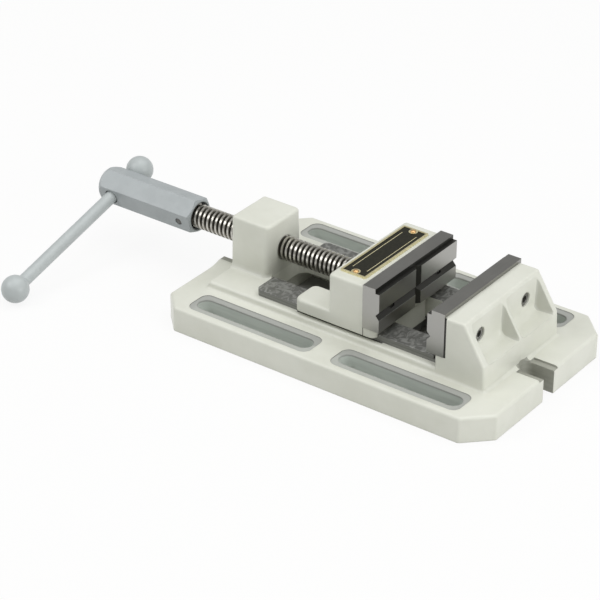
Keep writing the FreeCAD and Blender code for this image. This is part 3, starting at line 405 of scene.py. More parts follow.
ENAMEL = (0.77, 0.78, 0.70, 1.0)
ENAMEL_SHADE = (0.72, 0.73, 0.645, 1.0)
# painted shade: near-black for the gaps beside the jaw plates and under the sliding jaw
GAP_SHADE = (0.035, 0.034, 0.028, 1.0)
# painted shade: the darker enamel tone in the fixed jaw's pockets, round the block's foot and low on the jaw
PAINTED_SHADE_TONE = (0.33, 0.335, 0.29, 1.0)
RAIL_TOP = (0.185, 0.187, 0.175, 1.0), (0.37, 0.375, 0.355, 1.0)
RAIL_SIDE = (0.17, 0.172, 0.16, 1.0), (0.26, 0.262, 0.245, 1.0)
# painted light: the side slots' milled walls, lighter than the end slots' iron, as light falling into the slots
LIT_SLOT_WALL = (0.58, 0.622, 0.578, 1.0), (0.64, 0.682, 0.635, 1.0)
SLOT_LEDGE = (0.44, 0.455, 0.42, 1.0), (0.49, 0.505, 0.47, 1.0)
# painted shade: the side slots' ledges, darker on their +Y side and past the slot ends
SHADED_LEDGE = (0.41, 0.42, 0.395, 1.0)
# painted shade: a darker line along a ledge's outer border, where it meets its wall
LEDGE_BORDER_SHADE = (0.30, 0.305, 0.28, 1.0)
# painted shade: the end slots' milled iron, darker than the side slots' walls
SHADED_END_SLOT_IRON = (0.33, 0.335, 0.285, 1.0), (0.40, 0.405, 0.35, 1.0)
CREST_STEEL = (0.56, 0.545, 0.50, 1.0), (0.36, 0.345, 0.31, 1.0)
# the thread's root is coloured darker than its crest
THREAD_ROOT_DARK = (0.12, 0.117, 0.10, 1.0)
ROOT_TO_CREST_RADII = (7.4 * MM, 8.8 * MM)  # on the thread, between all of the darker root colour and none
BLACK_OXIDE = (0.085, 0.085, 0.078, 1.0)
PLATE_BRASS = (0.88, 0.81, 0.52, 1.0), (0.72, 0.65, 0.38, 1.0)
PLATE_BLACK = (0.014, 0.014, 0.008, 1.0), (0.022, 0.021, 0.012, 1.0)
CASTING_EDGE = 1.2 * MM  # radius that the shading gives to a casting's edges
STEEL_WARMTH = 0.4
PLATE_WARMTH = 0.5


def enamel_colour(finish):
    """Off-white with faint clouds, as sprayed paint has over a casting."""
    return finish.mottled(finish.noise(28.0, 4.0), ENAMEL, ENAMEL_SHADE, 0.35, 0.7)


def enamel_relief(finish):
    """Slow hollows of the casting with the fine skin of the paint on them."""
    slow = finish.noise(90.0, 2.0)
    fine = finish.noise(900.0, 2.0)
    return finish.sums("MULTIPLY_ADD", fine, 0.18, slow)


def jaw_enamel():
    """Enamel with painted shade: a dark line where the jaw plate sits on it, and darker low down."""
    finish = Finish("jaw_enamel", Roughness=0.36, Coat_Weight=0.25, Coat_Roughness=0.25)
    x, _, z = finish.axes()
    seat = sliding_plate_low[0]
    # painted shade: a dark line in the gap where the plate sits
    beside_plate = finish.both(
        finish.inside(x, seat - 0.35 * MM, seat + 0.3 * MM),
        finish.below(z, sliding_plate_high[2] - 1.5 * MM),
    )
    # painted shade: darker towards the bottom
    low_shade = finish.steps(z, 30 * MM, 44 * MM, 0.25, 0.0)
    shaded_enamel = finish.blend(low_shade, enamel_colour(finish), PAINTED_SHADE_TONE)
    finish.colour(finish.blend(beside_plate, shaded_enamel, GAP_SHADE))
    finish.roughness(finish.steps(finish.noise(160.0), 0.3, 0.7, 0.32, 0.44))
    finish.relief(enamel_relief(finish), 0.22 * MM, CASTING_EDGE)
    return finish.material


def recess_distance(finish, x, y, half_x, half_y, corner):
    """Distance outside a rounded rectangle round the origin.

    It is the length of (how far past the corner's centre along x, how far along y) less the
    corner's radius, and so below nothing inside.
    """
    past_x = finish.sums("MAXIMUM", finish.minus(finish.size(x), half_x - corner), 0.0)
    past_y = finish.sums("MAXIMUM", finish.minus(finish.size(y), half_y - corner), 0.0)
    squares = finish.sums("MULTIPLY_ADD", past_x, past_x, finish.sums("MULTIPLY", past_y, past_y))
    return finish.minus(finish.sums("SQRT", squares), corner)


def slot_finish(finish, x, y, z):
    """Where the base is milled for its side and end slots, and the colour it has there."""
    mounts = frame["record"]["mounts"]
    dims = next(item for item in mounts if item["name"] == "clamp_slots")["dims"]
    half_width = dims["hole_r_mm"] * MM
    half_run = dims["slot_length_mm"] * MM / 2
    slot_x, slot_y = dims["spacing_x_mm"] * MM / 2, dims["spacing_y_mm"] * MM / 2
    ledge = half_width + LEDGE_WIDTH
    across = finish.size(y)
    beside = finish.minus(finish.size(x), slot_x)
    aside = finish.minus(across, slot_y)
    outside = recess_distance(finish, beside, aside, half_run + LEDGE_END, ledge, LEDGE_BEND)
    at_side = finish.both(finish.below(outside, 0.03 * MM), finish.below(z, FLANGE_TOP - 0.02 * MM))
    ledges = finish.either(
        finish.inside(x, base_high[0] - JAW_END_LEDGE, base_high[0] - 0.15 * MM),
        finish.inside(x, base_low[0] + 0.15 * MM, base_low[0] + HANDLE_END_LEDGE),
    )
    ends = finish.either(
        finish.both(ledges, finish.below(across, ledge + 0.03 * MM)),
        finish.both(
            finish.above(x, base_high[0] - JAW_END_SLOT),
            finish.below(across, half_width + 0.08 * MM),
        ),
    )
    at_end = finish.both(ends, finish.below(z, END_CUT_TOP))

    milled = finish.noise(40.0, 4.0, where=finish.stretched((1.0, 1.0, 9.0)))
    # painted shade: the ledges darker on their +Y side and past the slot ends
    past_end = finish.steps(beside, half_run - 6 * MM, half_run + 1 * MM)
    from_middle = finish.minus(y, finish.sums("MULTIPLY", finish.sums("SIGN", y), slot_y))
    far_ledge_shade = finish.either(past_end, finish.steps(from_middle, 0.0, 2 * MM))
    shelf = finish.mottled(milled, *SLOT_LEDGE)
    shelf = finish.blend(finish.both(far_ledge_shade, at_side), shelf, SHADED_LEDGE)
    # painted shade: a darker line along the ledges' outer border
    border_shade = finish.steps(outside, -0.35 * MM, -0.1 * MM)
    shelf = finish.blend(finish.both(border_shade, at_side), shelf, LEDGE_BORDER_SHADE)
    on_shelf = finish.steps(z, *(FLANGE_TOP - drop for drop in LEDGE_DROP))
    # the side slots' walls painted lighter and, below, the end slots' iron painted darker, as light and shade
    colour = finish.blend(on_shelf, finish.mottled(milled, *LIT_SLOT_WALL), shelf)
    colour = finish.blend(at_end, colour, finish.mottled(milled, *SHADED_END_SLOT_IRON))
    return finish.either(at_side, at_end), colour


def rail_finish(finish, x, y, z):
    """Where the rails are, their colour, and the flakes on their tops.

    Scraped bearing spots lie on top, and long planing marks run down the sides.
    """
    rails = finish.both(
        finish.above(z, RAIL_FOOT),
        finish.inside(finish.size(y), *RAIL_SIDES),
        finish.inside(x, *RAIL_ENDS),
    )
    aslant = finish.stretched((1.0, 0.75, 0.4), (0.0, 0.0, 0.5))
    flakes = finish.steps(finish.noise(210.0, 2.0, 0.5, aslant, Distortion=1.2), 0.40, 0.68)
    planed = finish.noise(60.0, 3.0, where=finish.stretched((0.25, 1.0, 12.0)))
    side, top = finish.mottled(planed, *RAIL_SIDE), finish.blend(flakes, *RAIL_TOP)
    return rails, finish.blend(finish.steps(z, *RAIL_EDGE), side, top), flakes


def painted_gap_lines(finish, x, y, z):
    """Painted shade: dark lines in the gaps behind the fixed plate and along the rails' foot under the sliding
    jaw.
    """
    behind_plate = finish.both(
        finish.inside(x, FIXED_SEAT - 0.3 * MM, FIXED_SEAT + 1.3 * MM),
        finish.inside(z, PLATE_SEAT - 0.2 * MM, JAW_TOP - 0.4 * MM),
    )
    rail_foot = finish.both(
        finish.inside(finish.size(y), RAIL_SIDES[1] - 0.15 * MM, RAIL_SIDES[1] + 1.25 * MM),
        finish.inside(x, corners("movable_jaw")[0][0], sliding_plate_high[0]),
        finish.inside(z, PLINTH_TOP - 0.2 * MM, PLINTH_TOP + 0.25 * MM),
    )
    return finish.either(behind_plate, rail_foot)


def painted_nook_shade(finish, x, y, z):
    """Painted shade on the pockets' side walls and, fading upwards, round the foot of the nut block."""
    across = finish.size(y)
    slope = JAW_BACK + JAW_TOP * BACK_SLOPE - 0.5 * MM
    pocket_sides = finish.both(
        finish.above(x, POCKET_WALL + 1 * MM),
        finish.above(z, POCKET_FLOOR + 0.8 * MM),
        finish.below(finish.sums("MULTIPLY_ADD", z, BACK_SLOPE, x), slope),
        finish.either(
            finish.inside(across, 0.9 * MM, RIB_HALF + 0.3 * MM),
            finish.inside(across, OUTER_WALL - 1.7 * MM, OUTER_WALL + 1.7 * MM),
        ),
    )
    foot = PLINTH_TOP + 1 * MM
    block_foot = finish.both(
        finish.steps(z, foot, 50 * MM, 0.2, 0.0),
        finish.below(x, BLOCK_RIGHT + 1 * MM),
        finish.above(z, foot),
    )
    return finish.sums("MULTIPLY_ADD", pocket_sides, 0.42, block_foot)


def base_finish():
    """Enamel, with bare iron on the rails and a smooth grey in the milled slots."""
    finish = Finish("base_finish", Coat_Roughness=0.25)
    place = finish.axes()
    slots, slot_colour = slot_finish(finish, *place)
    rails, rail_colour, flakes = rail_finish(finish, *place)
    bare = finish.either(slots, rails)
    # painted shade: darker in the fixed jaw's pockets and round the block's foot
    shaded_enamel = finish.blend(painted_nook_shade(finish, *place), enamel_colour(finish), PAINTED_SHADE_TONE)
    # painted shade: dark lines in the gaps by the fixed plate and along the rails' foot
    painted = finish.blend(painted_gap_lines(finish, *place), shaded_enamel, GAP_SHADE)
    finish.colour(finish.blend(bare, painted, finish.blend(rails, slot_colour, rail_colour)))
    finish.link(finish.sums("MULTIPLY", rails, 0.6), finish.shader.inputs["Metallic"])
    coat = finish.sums("MULTIPLY", finish.minus(1.0, bare), 0.25)
    finish.link(coat, finish.shader.inputs["Coat Weight"])
    finish.roughness(finish.steps(bare, 0.0, 1.0, 0.38, 0.42))
    height = finish.sums("MULTIPLY_ADD", finish.both(flakes, rails), 0.3, enamel_relief(finish))
    finish.relief(height, 0.2 * MM, CASTING_EDGE)
    return finish.material


def ground_steel(name, face, towards_gap):
    """Hardened jaw plate with faint ground lines across it.

    Black oxide is left in its step and grooves, which lie behind its gripping face. Its ends and gripping face are
    painted lighter, as painted highlight.
    """
    finish = Finish(name, Metallic=1.0)
    x, y, z = finish.axes()
    across = finish.size(y)
    lines = finish.noise(500.0, 2.0, where=finish.stretched((1.0, 0.02, 1.0)))
    patches = finish.noise(45.0, 3.0)
    tone = finish.sums("MULTIPLY_ADD", lines, 0.4, finish.sums("MULTIPLY", patches, 0.6))
    ground = finish.mottled(tone, grey(0.285, PLATE_WARMTH), grey(0.33, PLATE_WARMTH))
    end, top = (edge - 0.1 * MM for edge in fixed_plate_high[1:])
    behind_face = sorted(face - towards_gap * depth for depth in (0.12 * MM, 3.55 * MM))
    recess = finish.both(
        finish.inside(x, *behind_face), finish.below(across, end), finish.below(z, top)
    )
    if towards_gap > 0:
        gripping = finish.above(x, behind_face[1])
    else:
        gripping = finish.below(x, behind_face[0])
    # painted highlight: the plate's ends and its gripping face lighter than its top
    ground = finish.blend(finish.above(across, end), ground, grey(0.37, PLATE_WARMTH))
    ground = finish.blend(gripping, ground, grey(0.40, PLATE_WARMTH))
    finish.colour(finish.blend(recess, ground, BLACK_OXIDE))
    finish.roughness(finish.steps(recess, 0.0, 1.0, 0.29, 0.4))
    finish.relief(lines, 0.003 * MM)
    return finish.material


def screw_steel():
    """Bright crests of the thread, darker down in its root."""
    finish = Finish("screw_steel", Metallic=1.0)
    _, y, z = finish.axes()
    rise = finish.minus(z, SCREW_Z)
    squares = finish.sums("MULTIPLY_ADD", y, y, finish.sums("MULTIPLY", rise, rise))
    crest = finish.steps(finish.sums("SQRT", squares), *ROOT_TO_CREST_RADII)
    bright = finish.mottled(finish.noise(300.0, 3.0), *CREST_STEEL, 0.35, 0.75)
    finish.colour(finish.blend(crest, THREAD_ROOT_DARK, bright))
    finish.roughness(finish.steps(crest, 0.0, 1.0, 0.5, 0.3))
    finish.relief(finish.noise(1500.0, 2.0, where=finish.stretched((6.0, 1.0, 1.0))), 0.02 * MM)
    return finish.material


def steel(name, level, rough):
    """Plain steel with fine turning marks and a little staining."""
    finish = Finish(name, Metallic=1.0)
    clean, stained = (grey(share * level, STEEL_WARMTH) for share in (1.0, 0.75))
    finish.colour(finish.mottled(finish.noise(240.0, 4.0), clean, stained, 0.35, 0.7))
    finish.roughness(finish.steps(finish.noise(500.0), 0.3, 0.7, rough - 0.06, rough + 0.08))
    finish.relief(finish.noise(1600.0, 2.0), 0.02 * MM)
    return finish.material


def grey_paint(name, tone):
    """Smooth light grey paint, a little cloudy."""
    finish = Finish(name, Roughness=0.36, Coat_Weight=0.2, Coat_Roughness=0.3)
    shade = tuple(0.93 * part for part in tone)
    finish.colour(finish.mottled(finish.noise(60.0, 3.0), (*tone, 1.0), (*shade, 1.0), 0.35, 0.7))
    finish.roughness(finish.steps(finish.noise(220.0), 0.3, 0.7, 0.33, 0.45))
    finish.relief(finish.noise(700.0, 2.0), 0.04 * MM, 0.5 * MM)
    return finish.material


def name_plate_finish():
    """Pale brass border and bosses round a black enamelled field with two fine lines."""
    finish = Finish("name_plate_finish")
    x, y, z = finish.axes()
    low, high = corners("name_plate")
    border = 1.2 * MM
    line_x, line_half = 6.4 * MM, 32.2 * MM
    across = finish.size(finish.minus(x, (low[0] + high[0]) / 2))
    along = finish.size(y)
    raised = finish.steps(z, high[2] - 0.3 * MM, high[2] - 0.12 * MM)
    field = finish.both(
        finish.below(across, (high[0] - low[0]) / 2 - border), finish.below(along, high[1] - border)
    )
    black = finish.both(field, finish.minus(1.0, raised))
    from_line = finish.size(finish.minus(across, line_x))
    lines = finish.both(
        finish.steps(from_line, 0.14 * MM, 0.28 * MM, 1.0, 0.0), finish.below(along, line_half)
    )
    tarnish = finish.noise(500.0, 3.0)
    gold = finish.mottled(tarnish, *PLATE_BRASS, 0.35, 0.7)
    dark = finish.mottled(tarnish, *PLATE_BLACK, 0.35, 0.7)
    finish.colour(finish.blend(finish.both(black, finish.minus(1.0, lines)), gold, dark))
    finish.link(finish.steps(black, 0.0, 1.0, 0.85, 0.0), finish.shader.inputs["Metallic"])
    finish.link(finish.steps(black, 0.0, 1.0, 0.5, 0.2), finish.shader.inputs["Specular IOR Level"])
    finish.roughness(finish.steps(black, 0.0, 1.0, 0.34, 0.42))
    finish.relief(finish.noise(1200.0, 2.0), 0.02 * MM)
    return finish.material


def metal_tone(name, colour, darker, rough):
    """Coloured metal, a little tarnished."""
    finish = Finish(name, Metallic=1.0)
    finish.colour(finish.mottled(finish.noise(600.0, 3.0), colour, darker, 0.35, 0.7))
    finish.roughness(finish.steps(finish.noise(800.0), 0.3, 0.7, rough - 0.05, rough + 0.08))
    finish.relief(finish.noise(1400.0, 2.0), 0.01 * MM)
    return finish.material


BASE_FINISH = base_finish()
JAW_FINISH = jaw_enamel()
FIXED_STEEL = ground_steel("fixed_plate_steel", fixed_plate_low[0], -1)
SLIDING_STEEL = ground_steel("sliding_plate_steel", sliding_plate_high[0], 1)
SCREW_STEEL = screw_steel()
BLACK_STEEL = steel("black_steel", 0.30, 0.42)
ZINC_STEEL = steel("zinc_steel", 0.5, 0.34)
MILL_STEEL = steel("mill_steel", 0.26, 0.45)
PIN_STEEL = steel("pin_steel", 0.15, 0.45)
HUB_PAINT = grey_paint("hub_paint", (0.41, 0.445, 0.455))
HANDLE_PAINT = grey_paint("handle_paint", (0.515, 0.555, 0.555))
PLATE_FINISH = name_plate_finish()
COPPER = metal_tone("rivet_copper", (0.78, 0.50, 0.24, 1.0), (0.64, 0.40, 0.18, 1.0), 0.3)


# ---------------------------------------------------------------- castings, plates and hub


def share(value, low, high):
    """How far a value is from low to high, kept between 0 and 1."""
    return np.clip((value - low) / (high - low), 0.0, 1.0)


def tighter_block(points):
    """Gives the nut block's corners a smaller radius.

    A point at distance d from the old corner's centre, in direction u, goes to distance
    d - (old - new) from the new centre, in the same direction; the toe of the foot stays.
    """
    x, y, z = points.T
    centre_x = BLOCK_RIGHT - BLOCK_CORNER
    centre_y = BLOCK_HALF - BLOCK_CORNER
    past_x, past_y = x - centre_x, np.abs(y) - centre_y
    distance = np.hypot(past_x, past_y)
    chosen = (past_x > -1e-6) & (past_y > -1e-6) & (z > PLINTH_TOP - 1e-6)
    chosen &= (distance > BLOCK_CORE) & (distance < BLOCK_CORNER + BLOCK_FOOT + 0.05 * MM)
    rise = share(z, PLINTH_TOP, PLINTH_TOP + BLOCK_FOOT)
    change = (BLOCK_CORNER - SHOWN_BLOCK_CORNER) * rise * chosen
    distance = np.maximum(distance, 1e-6)
    moved = points.copy()
    moved[:, 0] += change * (1 - past_x / distance)
    moved[:, 1] += change * (1 - past_y / distance) * np.sign(y)
    return moved


def wider_bore(points):
    """Opens the nut block's bore for the thread: y and z - SCREW_Z grow by one share."""
    aside = points[:, 1:] - (0.0, SCREW_Z)
    radius = np.hypot(*aside.T)
    bore = (np.abs(radius - NUT_BORE) < 0.15 * MM) & (points[:, 0] < BLOCK_RIGHT + PICKED)
    moved = points.copy()
    moved[:, 1:] += aside * ((BORE_GROWTH - 1) * bore)[:, None]
    return moved


def thinner_ribs(points):
    """Draws the ribs of the fixed jaw's back together towards their crests.

    A pocket's side wall moves by its full shift at the sloping back, and by none further in.
    """
    x, y, z = points.T
    slope = JAW_BACK + (JAW_TOP - z) * BACK_SLOPE
    crest = 1 - share(slope - x, 0.2 * MM, THINNED_DEPTH)
    crest *= (x > POCKET_WALL - PICKED) & (z > POCKET_FLOOR - PICKED) & (z < JAW_TOP - 0.5 * MM)
    moved = points.copy()
    for wall, side, reach, amount in WALL_SHIFTS:
        # into the pocket from this wall, over the wall's rounded corner
        inward = (y - wall) * reach
        near = (inward > -0.06 * MM) & (inward < POCKET_BEND + 0.05 * MM) & (np.sign(y) == side)
        moved[:, 1] += amount * crest * (1 - share(inward, 0.05 * MM, POCKET_BEND)) * near
    return moved


def shown_base(points):
    """The three changes to the base casting, one after another."""
    return thinner_ribs(tighter_block(wider_bore(points)))


def larger_hub(points):
    """Opens the hub's cross hole and makes the hub a little thicker and longer.

    The hole's wall goes to a larger radius about the handle. The outer end moves outwards, the
    other end's chamfer is halved and its bore opens to a cone, and then every point's distance
    from the screw's axis grows by the same share.
    """
    from_axis = points - screw_axis_at_handle
    along = from_axis @ HANDLE_AXIS
    aside = from_axis - along[:, None] * HANDLE_AXIS
    radius = np.linalg.norm(aside, axis=1)
    bore = (radius < BAR_RADIUS + 1.0 * MM) & (radius > BAR_RADIUS - 0.5 * MM)
    grown = np.where(bore, SHOWN_CROSS_HOLE / np.maximum(radius, 1e-6), 1.0)
    moved = screw_axis_at_handle + along[:, None] * HANDLE_AXIS + aside * grown[:, None]
    moved[:, 0] -= HUB_LONGER * (moved[:, 0] < handle_x - SHOWN_CROSS_HOLE)
    before_end = HUB_END - moved[:, 0]
    near_end = before_end < HUB_CHAMFER
    moved[:, 0] += (0.5 * before_end - HUB_SHORTER) * near_end
    from_screw = moved[:, 1:] - (0.0, SCREW_Z)
    reach = np.hypot(*from_screw.T)
    rim = near_end & (reach < HUB_MOUTH - 0.5 * MM)
    opened = np.where(rim, HUB_MOUTH / np.maximum(reach, 1e-6), 1.0)
    moved[:, 1:] += from_screw * (opened - 1)[:, None]
    moved[:, 1:] = (moved[:, 1:] - (0.0, SCREW_Z)) * HUB_GROWTH + (0.0, SCREW_Z)
    return moved


smooth_copy("base_casting", "base", BASE_FINISH, reshape=shown_base)
smooth_copy("movable_jaw", "jaw", JAW_FINISH)
eased(smooth_copy("fixed_jaw_plate", "base", FIXED_STEEL), PLATE_EASE)
eased(smooth_copy("movable_jaw_plate", "jaw", SLIDING_STEEL), PLATE_EASE)
smooth_copy("keeper_plate", "jaw", MILL_STEEL)
smooth_copy("name_plate", "jaw", PLATE_FINISH)
smooth_copy("handle_hub", "screw", HUB_PAINT, reshape=larger_hub)
smooth_copy("screw_retaining_pins", "jaw", ZINC_STEEL)


# ---------------------------------------------------------------- screw

THREAD_PITCH = 4.0 * MM
THREAD_GROWTH = 1.06  # the photograph's screw is a little thicker than the CAD node
THREAD_DEPTH = 2.3 * MM
THREAD_CREST = 1.7 * MM
THREAD_FLANK = 0.55 * MM
SPARE_TURNS = 2  # that the thread runs on past each plane before it is cut
NOSE_RADIUS = 6.5 * MM
NOSE_STEP = 23.8 * MM  # from the shoulder to the nose's end
NOSE_LAP = 0.5 * MM  # of the nose inside the thread
NOSE_CHAMFER = 1.5 * MM
GROOVE_HALF = 2.15 * MM
GROOVE_RADIUS = 4.5 * MM


def thread_form(left, right, crest_radius):
    """The thread between two planes across the screw.

    Row i, column j is at x = left + pitch * (turn + j / columns) + offset_i, radius_i, so each row
    of the trapezoid climbs one pitch in a turn. The rows run on past both planes and are cut there.
    """
    root = crest_radius - THREAD_DEPTH
    flank_end = THREAD_CREST + THREAD_FLANK
    offsets = np.array([0.0, THREAD_CREST, flank_end, THREAD_PITCH - THREAD_FLANK])
    radii = np.array([crest_radius, crest_radius, root, root])
    step = len(offsets)  # rows in a turn
    turns = int((right - left) / THREAD_PITCH) + 2 * SPARE_TURNS
    row = np.arange(turns * step)
    along = left - SPARE_TURNS * THREAD_PITCH + (row // step) * THREAD_PITCH + offsets[row % step]
    radius = radii[row % step]
    angle = np.arange(ROUND) * 2 * math.pi / ROUND
    x = along[:, None] + THREAD_PITCH * angle[None, :] / (2 * math.pi)
    y = radius[:, None] * np.cos(angle)
    z = SCREW_Z + radius[:, None] * np.sin(angle)
    points = np.stack([x, y, z], axis=-1).reshape(-1, 3)
    here = np.arange(len(row) - 1)[:, None] * ROUND + np.arange(ROUND - 1)[None, :]
    after = here + ROUND
    quads = np.stack([here, here + 1, after + 1, after], axis=-1).reshape(-1, 4)
    start = np.arange(len(row) - step - 1) * ROUND
    turn_on = start + step * ROUND  # where the last column meets the first, one turn on
    seam = np.stack([start + ROUND - 1, turn_on, turn_on + ROUND, start + 2 * ROUND - 1], axis=-1)
    shape = bmesh.new()
    mesh = bpy.data.meshes.new("thread_run")
    mesh.from_pydata(points.tolist(), [], quads.tolist() + seam.tolist())
    shape.from_mesh(mesh)
    for plane, outwards in ((left, -1), (right, 1)):
        parts = shape.verts[:] + shape.edges[:] + shape.faces[:]
        cut = bmesh.ops.bisect_plane(
            shape, geom=parts, plane_co=(plane, 0, 0), plane_no=(outwards, 0, 0), clear_outer=True
        )
        rim = [item for item in cut["geom_cut"] if isinstance(item, bmesh.types.BMEdge)]
        bmesh.ops.triangle_fill(shape, edges=rim, use_beauty=True)
    shape.verts.index_update()
    made = [tuple(vert.co) for vert in shape.verts]
    faces = [[vert.index for vert in face.verts] for face in shape.faces]
    shape.free()
    bpy.data.meshes.remove(mesh)
    return np.array(made), faces


screw_low, screw_high = corners("lead_screw")
shoulder = screw_high[0] - NOSE_STEP
crest_radius = THREAD_GROWTH * (screw_high[2] - screw_low[2]) / 2
groove_x = middle("screw_retaining_pins")[0] - shoulder
nose = [
    (-NOSE_LAP, 0.0),
    (-NOSE_LAP, NOSE_RADIUS),
    (groove_x - GROOVE_HALF, NOSE_RADIUS),
    (groove_x - GROOVE_HALF, GROOVE_RADIUS),
    (groove_x + GROOVE_HALF, GROOVE_RADIUS),
    (groove_x + GROOVE_HALF, NOSE_RADIUS),
    (NOSE_STEP - NOSE_CHAMFER, NOSE_RADIUS),
    (NOSE_STEP, NOSE_RADIUS - NOSE_CHAMFER),
    (NOSE_STEP, 0.0),
]
several(
    "screw_thread",
    [
        thread_form(screw_low[0], shoulder, crest_radius),
        turned(nose, (shoulder, 0, SCREW_Z), ALONG_SCREW),
    ],
    "screw", ["lead_screw"], SCREW_STEEL,
)


# ---------------------------------------------------------------- handle


BALL_ROWS = 40
BALL_BORE = 1.2 * MM  # depth of the bar's hole
COUNTERSINK = 0.5 * MM


def ball_profile(radius, bar_radius):
    """A ball with a small countersink where the bar enters.

    At angle t it lies - radius cos t along the bar and radius sin t from the bar's axis.
    """
    mouth = math.asin((bar_radius + COUNTERSINK) / radius)
    turn = np.linspace(mouth, math.pi, BALL_ROWS)
    arc = [(-radius * math.cos(value), radius * math.sin(value)) for value in turn]
    face = arc[0][0]
    bored, sunk = face + BALL_BORE, face + COUNTERSINK
    return [(bored, 0.0), (bored, bar_radius), (sunk, bar_radius)] + arc


for name, towards_hub in (("handle_ball_lower", 1), ("handle_ball_upper", -1)):
    ball_low, ball_high = corners(name)
    ball_middle = (ball_low + ball_high) / 2
    ball_middle[0] = handle_x
    ball_radius = (ball_high - ball_low).max() / 2
    profile = ball_profile(ball_radius, SHOWN_BAR_RADIUS)
    form = turned(profile, ball_middle, -towards_hub * HANDLE_AXIS)
    several(name + "_turned", [form], "handle", [name], HANDLE_PAINT)

bar_start, bar_end = (
    float((middle(name) - screw_axis_at_handle) @ HANDLE_AXIS)
    for name in ("handle_ball_lower", "handle_ball_upper")
)
bar = [
    (bar_start, 0.0), (bar_start, SHOWN_BAR_RADIUS), (bar_end, SHOWN_BAR_RADIUS), (bar_end, 0.0),
]
several(
    "handle_bar_turned", [turned(bar, screw_axis_at_handle, HANDLE_AXIS)],
    "handle", ["handle_bar"], HANDLE_PAINT,
)


# ---------------------------------------------------------------- small fasteners


CAP_HEAD = 5.0 * MM
CAP_RISE = 6.0 * MM
CAP_SHANK = 3.0 * MM
CAP_SOCKET = 5.0 * MM  # across flats
CAP_SOCKET_DEPTH = 3.0 * MM
FIXED_WASHER_BORE = 3.3 * MM
KEEPER_WASHER_BORE = 4.3 * MM
KEEPER_FLATS = 13.0 * MM
KEEPER_SHANK = 4.0 * MM
RIVET_SHANK = 1.25 * MM
TIP_CHAMFER = 0.6 * MM  # of a cap screw's shank
BOLT_CHAMFER = 0.8 * MM  # of a hexagon-headed screw's shank
FILLET = 0.3 * MM  # under a cap screw's head


def cap_screw(seat, facing, shank_length):
    """A cylinder-headed screw: chamfered head with a hexagonal socket, a fillet and its shank."""
    socket = hexagon(CAP_SOCKET)
    profile = [
        (-CAP_RISE + CAP_SOCKET_DEPTH, 0.0),
        (-CAP_RISE + CAP_SOCKET_DEPTH, socket),
        (-CAP_RISE + 0.1 * MM, socket),
        (-CAP_RISE, socket + 0.2 * MM),
        (-CAP_RISE, CAP_HEAD - 0.8 * MM),
        (-CAP_RISE + 0.15 * MM, CAP_HEAD - 0.35 * MM),
        (-CAP_RISE + 0.5 * MM, CAP_HEAD),
        (0.0, CAP_HEAD),
        (0.0, CAP_SHANK + FILLET),
        (FILLET, CAP_SHANK),
        (shank_length - TIP_CHAMFER, CAP_SHANK),
        (shank_length, CAP_SHANK - TIP_CHAMFER),
        (shank_length, 0.0),
    ]
    return turned(profile, seat, (facing, 0.0, 0.0))


def corners_and_level(node):
    """A node's lowest and highest corner, and the level of its middle."""
    low, high = corners(node)
    return low, high, (low[2] + high[2]) / 2


low, high, level = corners_and_level("fixed_plate_screws")
cap_spread = high[1] - CAP_HEAD
seat = high[0] - CAP_RISE
several(
    "fixed_cap_screws",
    [cap_screw((seat, side * cap_spread, level), -1, seat - low[0]) for side in PAIR],
    "base", ["fixed_plate_screws"], BLACK_STEEL,
)
low, high, level = corners_and_level("movable_plate_screws")
seat = low[0] + CAP_RISE
several(
    "sliding_cap_screws",
    [cap_screw((seat, side * cap_spread, level), 1, high[0] - seat) for side in PAIR],
    "jaw", ["movable_plate_screws"], BLACK_STEEL,
)


def washer(origin, axis, outer, inner, thickness):
    """A flat ring with its four edges eased, turned as a closed section."""
    ease = 0.15 * MM
    section = [
        (0.0, inner + ease), (0.0, outer - ease),
        (ease, outer), (thickness - ease, outer),
        (thickness, outer - ease), (thickness, inner + ease),
        (thickness - ease, inner), (ease, inner),
    ]
    return turned(section, origin, axis, ring=True)


low, high, level = corners_and_level("fixed_plate_washers")
washer_outer, thickness = (high[2] - low[2]) / 2, high[0] - low[0]
several(
    "fixed_washers",
    [
        washer(
            (low[0], side * cap_spread, level), ALONG_SCREW,
            washer_outer, FIXED_WASHER_BORE, thickness,
        )
        for side in PAIR
    ],
    "base", ["fixed_plate_washers"], ZINC_STEEL,
)
washer_low, washer_high = corners("keeper_washers")
keeper_x = (washer_low[0] + washer_high[0]) / 2
washer_outer, thickness = (washer_high[0] - washer_low[0]) / 2, washer_high[2] - washer_low[2]
keeper_spread = washer_high[1] - washer_outer
several(
    "keeper_rings",
    [
        washer(
            (keeper_x, side * keeper_spread, washer_low[2]), UP,
            washer_outer, KEEPER_WASHER_BORE, thickness,
        )
        for side in PAIR
    ],
    "jaw", ["keeper_washers"], ZINC_STEEL,
)


def hexagon_screw(origin, flats, head_rise, shank, length):
    """A hexagon-headed screw that points up; min(hexagon, cone) chamfers the head's corners."""
    sides = hexagon(flats)
    tip = head_rise + length
    profile = [
        (0.0, 0.0),
        (0.0, flats / 2 * 0.95),
        (0.55 * MM, np.minimum(sides, flats / 2 * 1.04)),
        (1.15 * MM, sides),
        (head_rise, sides),
        (head_rise, shank),
        (tip - BOLT_CHAMFER, shank),
        (tip, shank - BOLT_CHAMFER),
        (tip, 0.0),
    ]
    return turned(profile, origin, UP)


bolt_low, bolt_high = corners("keeper_screws")
bolt_rise, bolt_length = washer_low[2] - bolt_low[2], bolt_high[2] - washer_low[2]
several(
    "keeper_bolts",
    [
        hexagon_screw(
            (keeper_x, side * keeper_spread, bolt_low[2]),
            KEEPER_FLATS, bolt_rise, KEEPER_SHANK, bolt_length,
        )
        for side in PAIR
    ],
    "jaw", ["keeper_screws"], ZINC_STEEL,
)


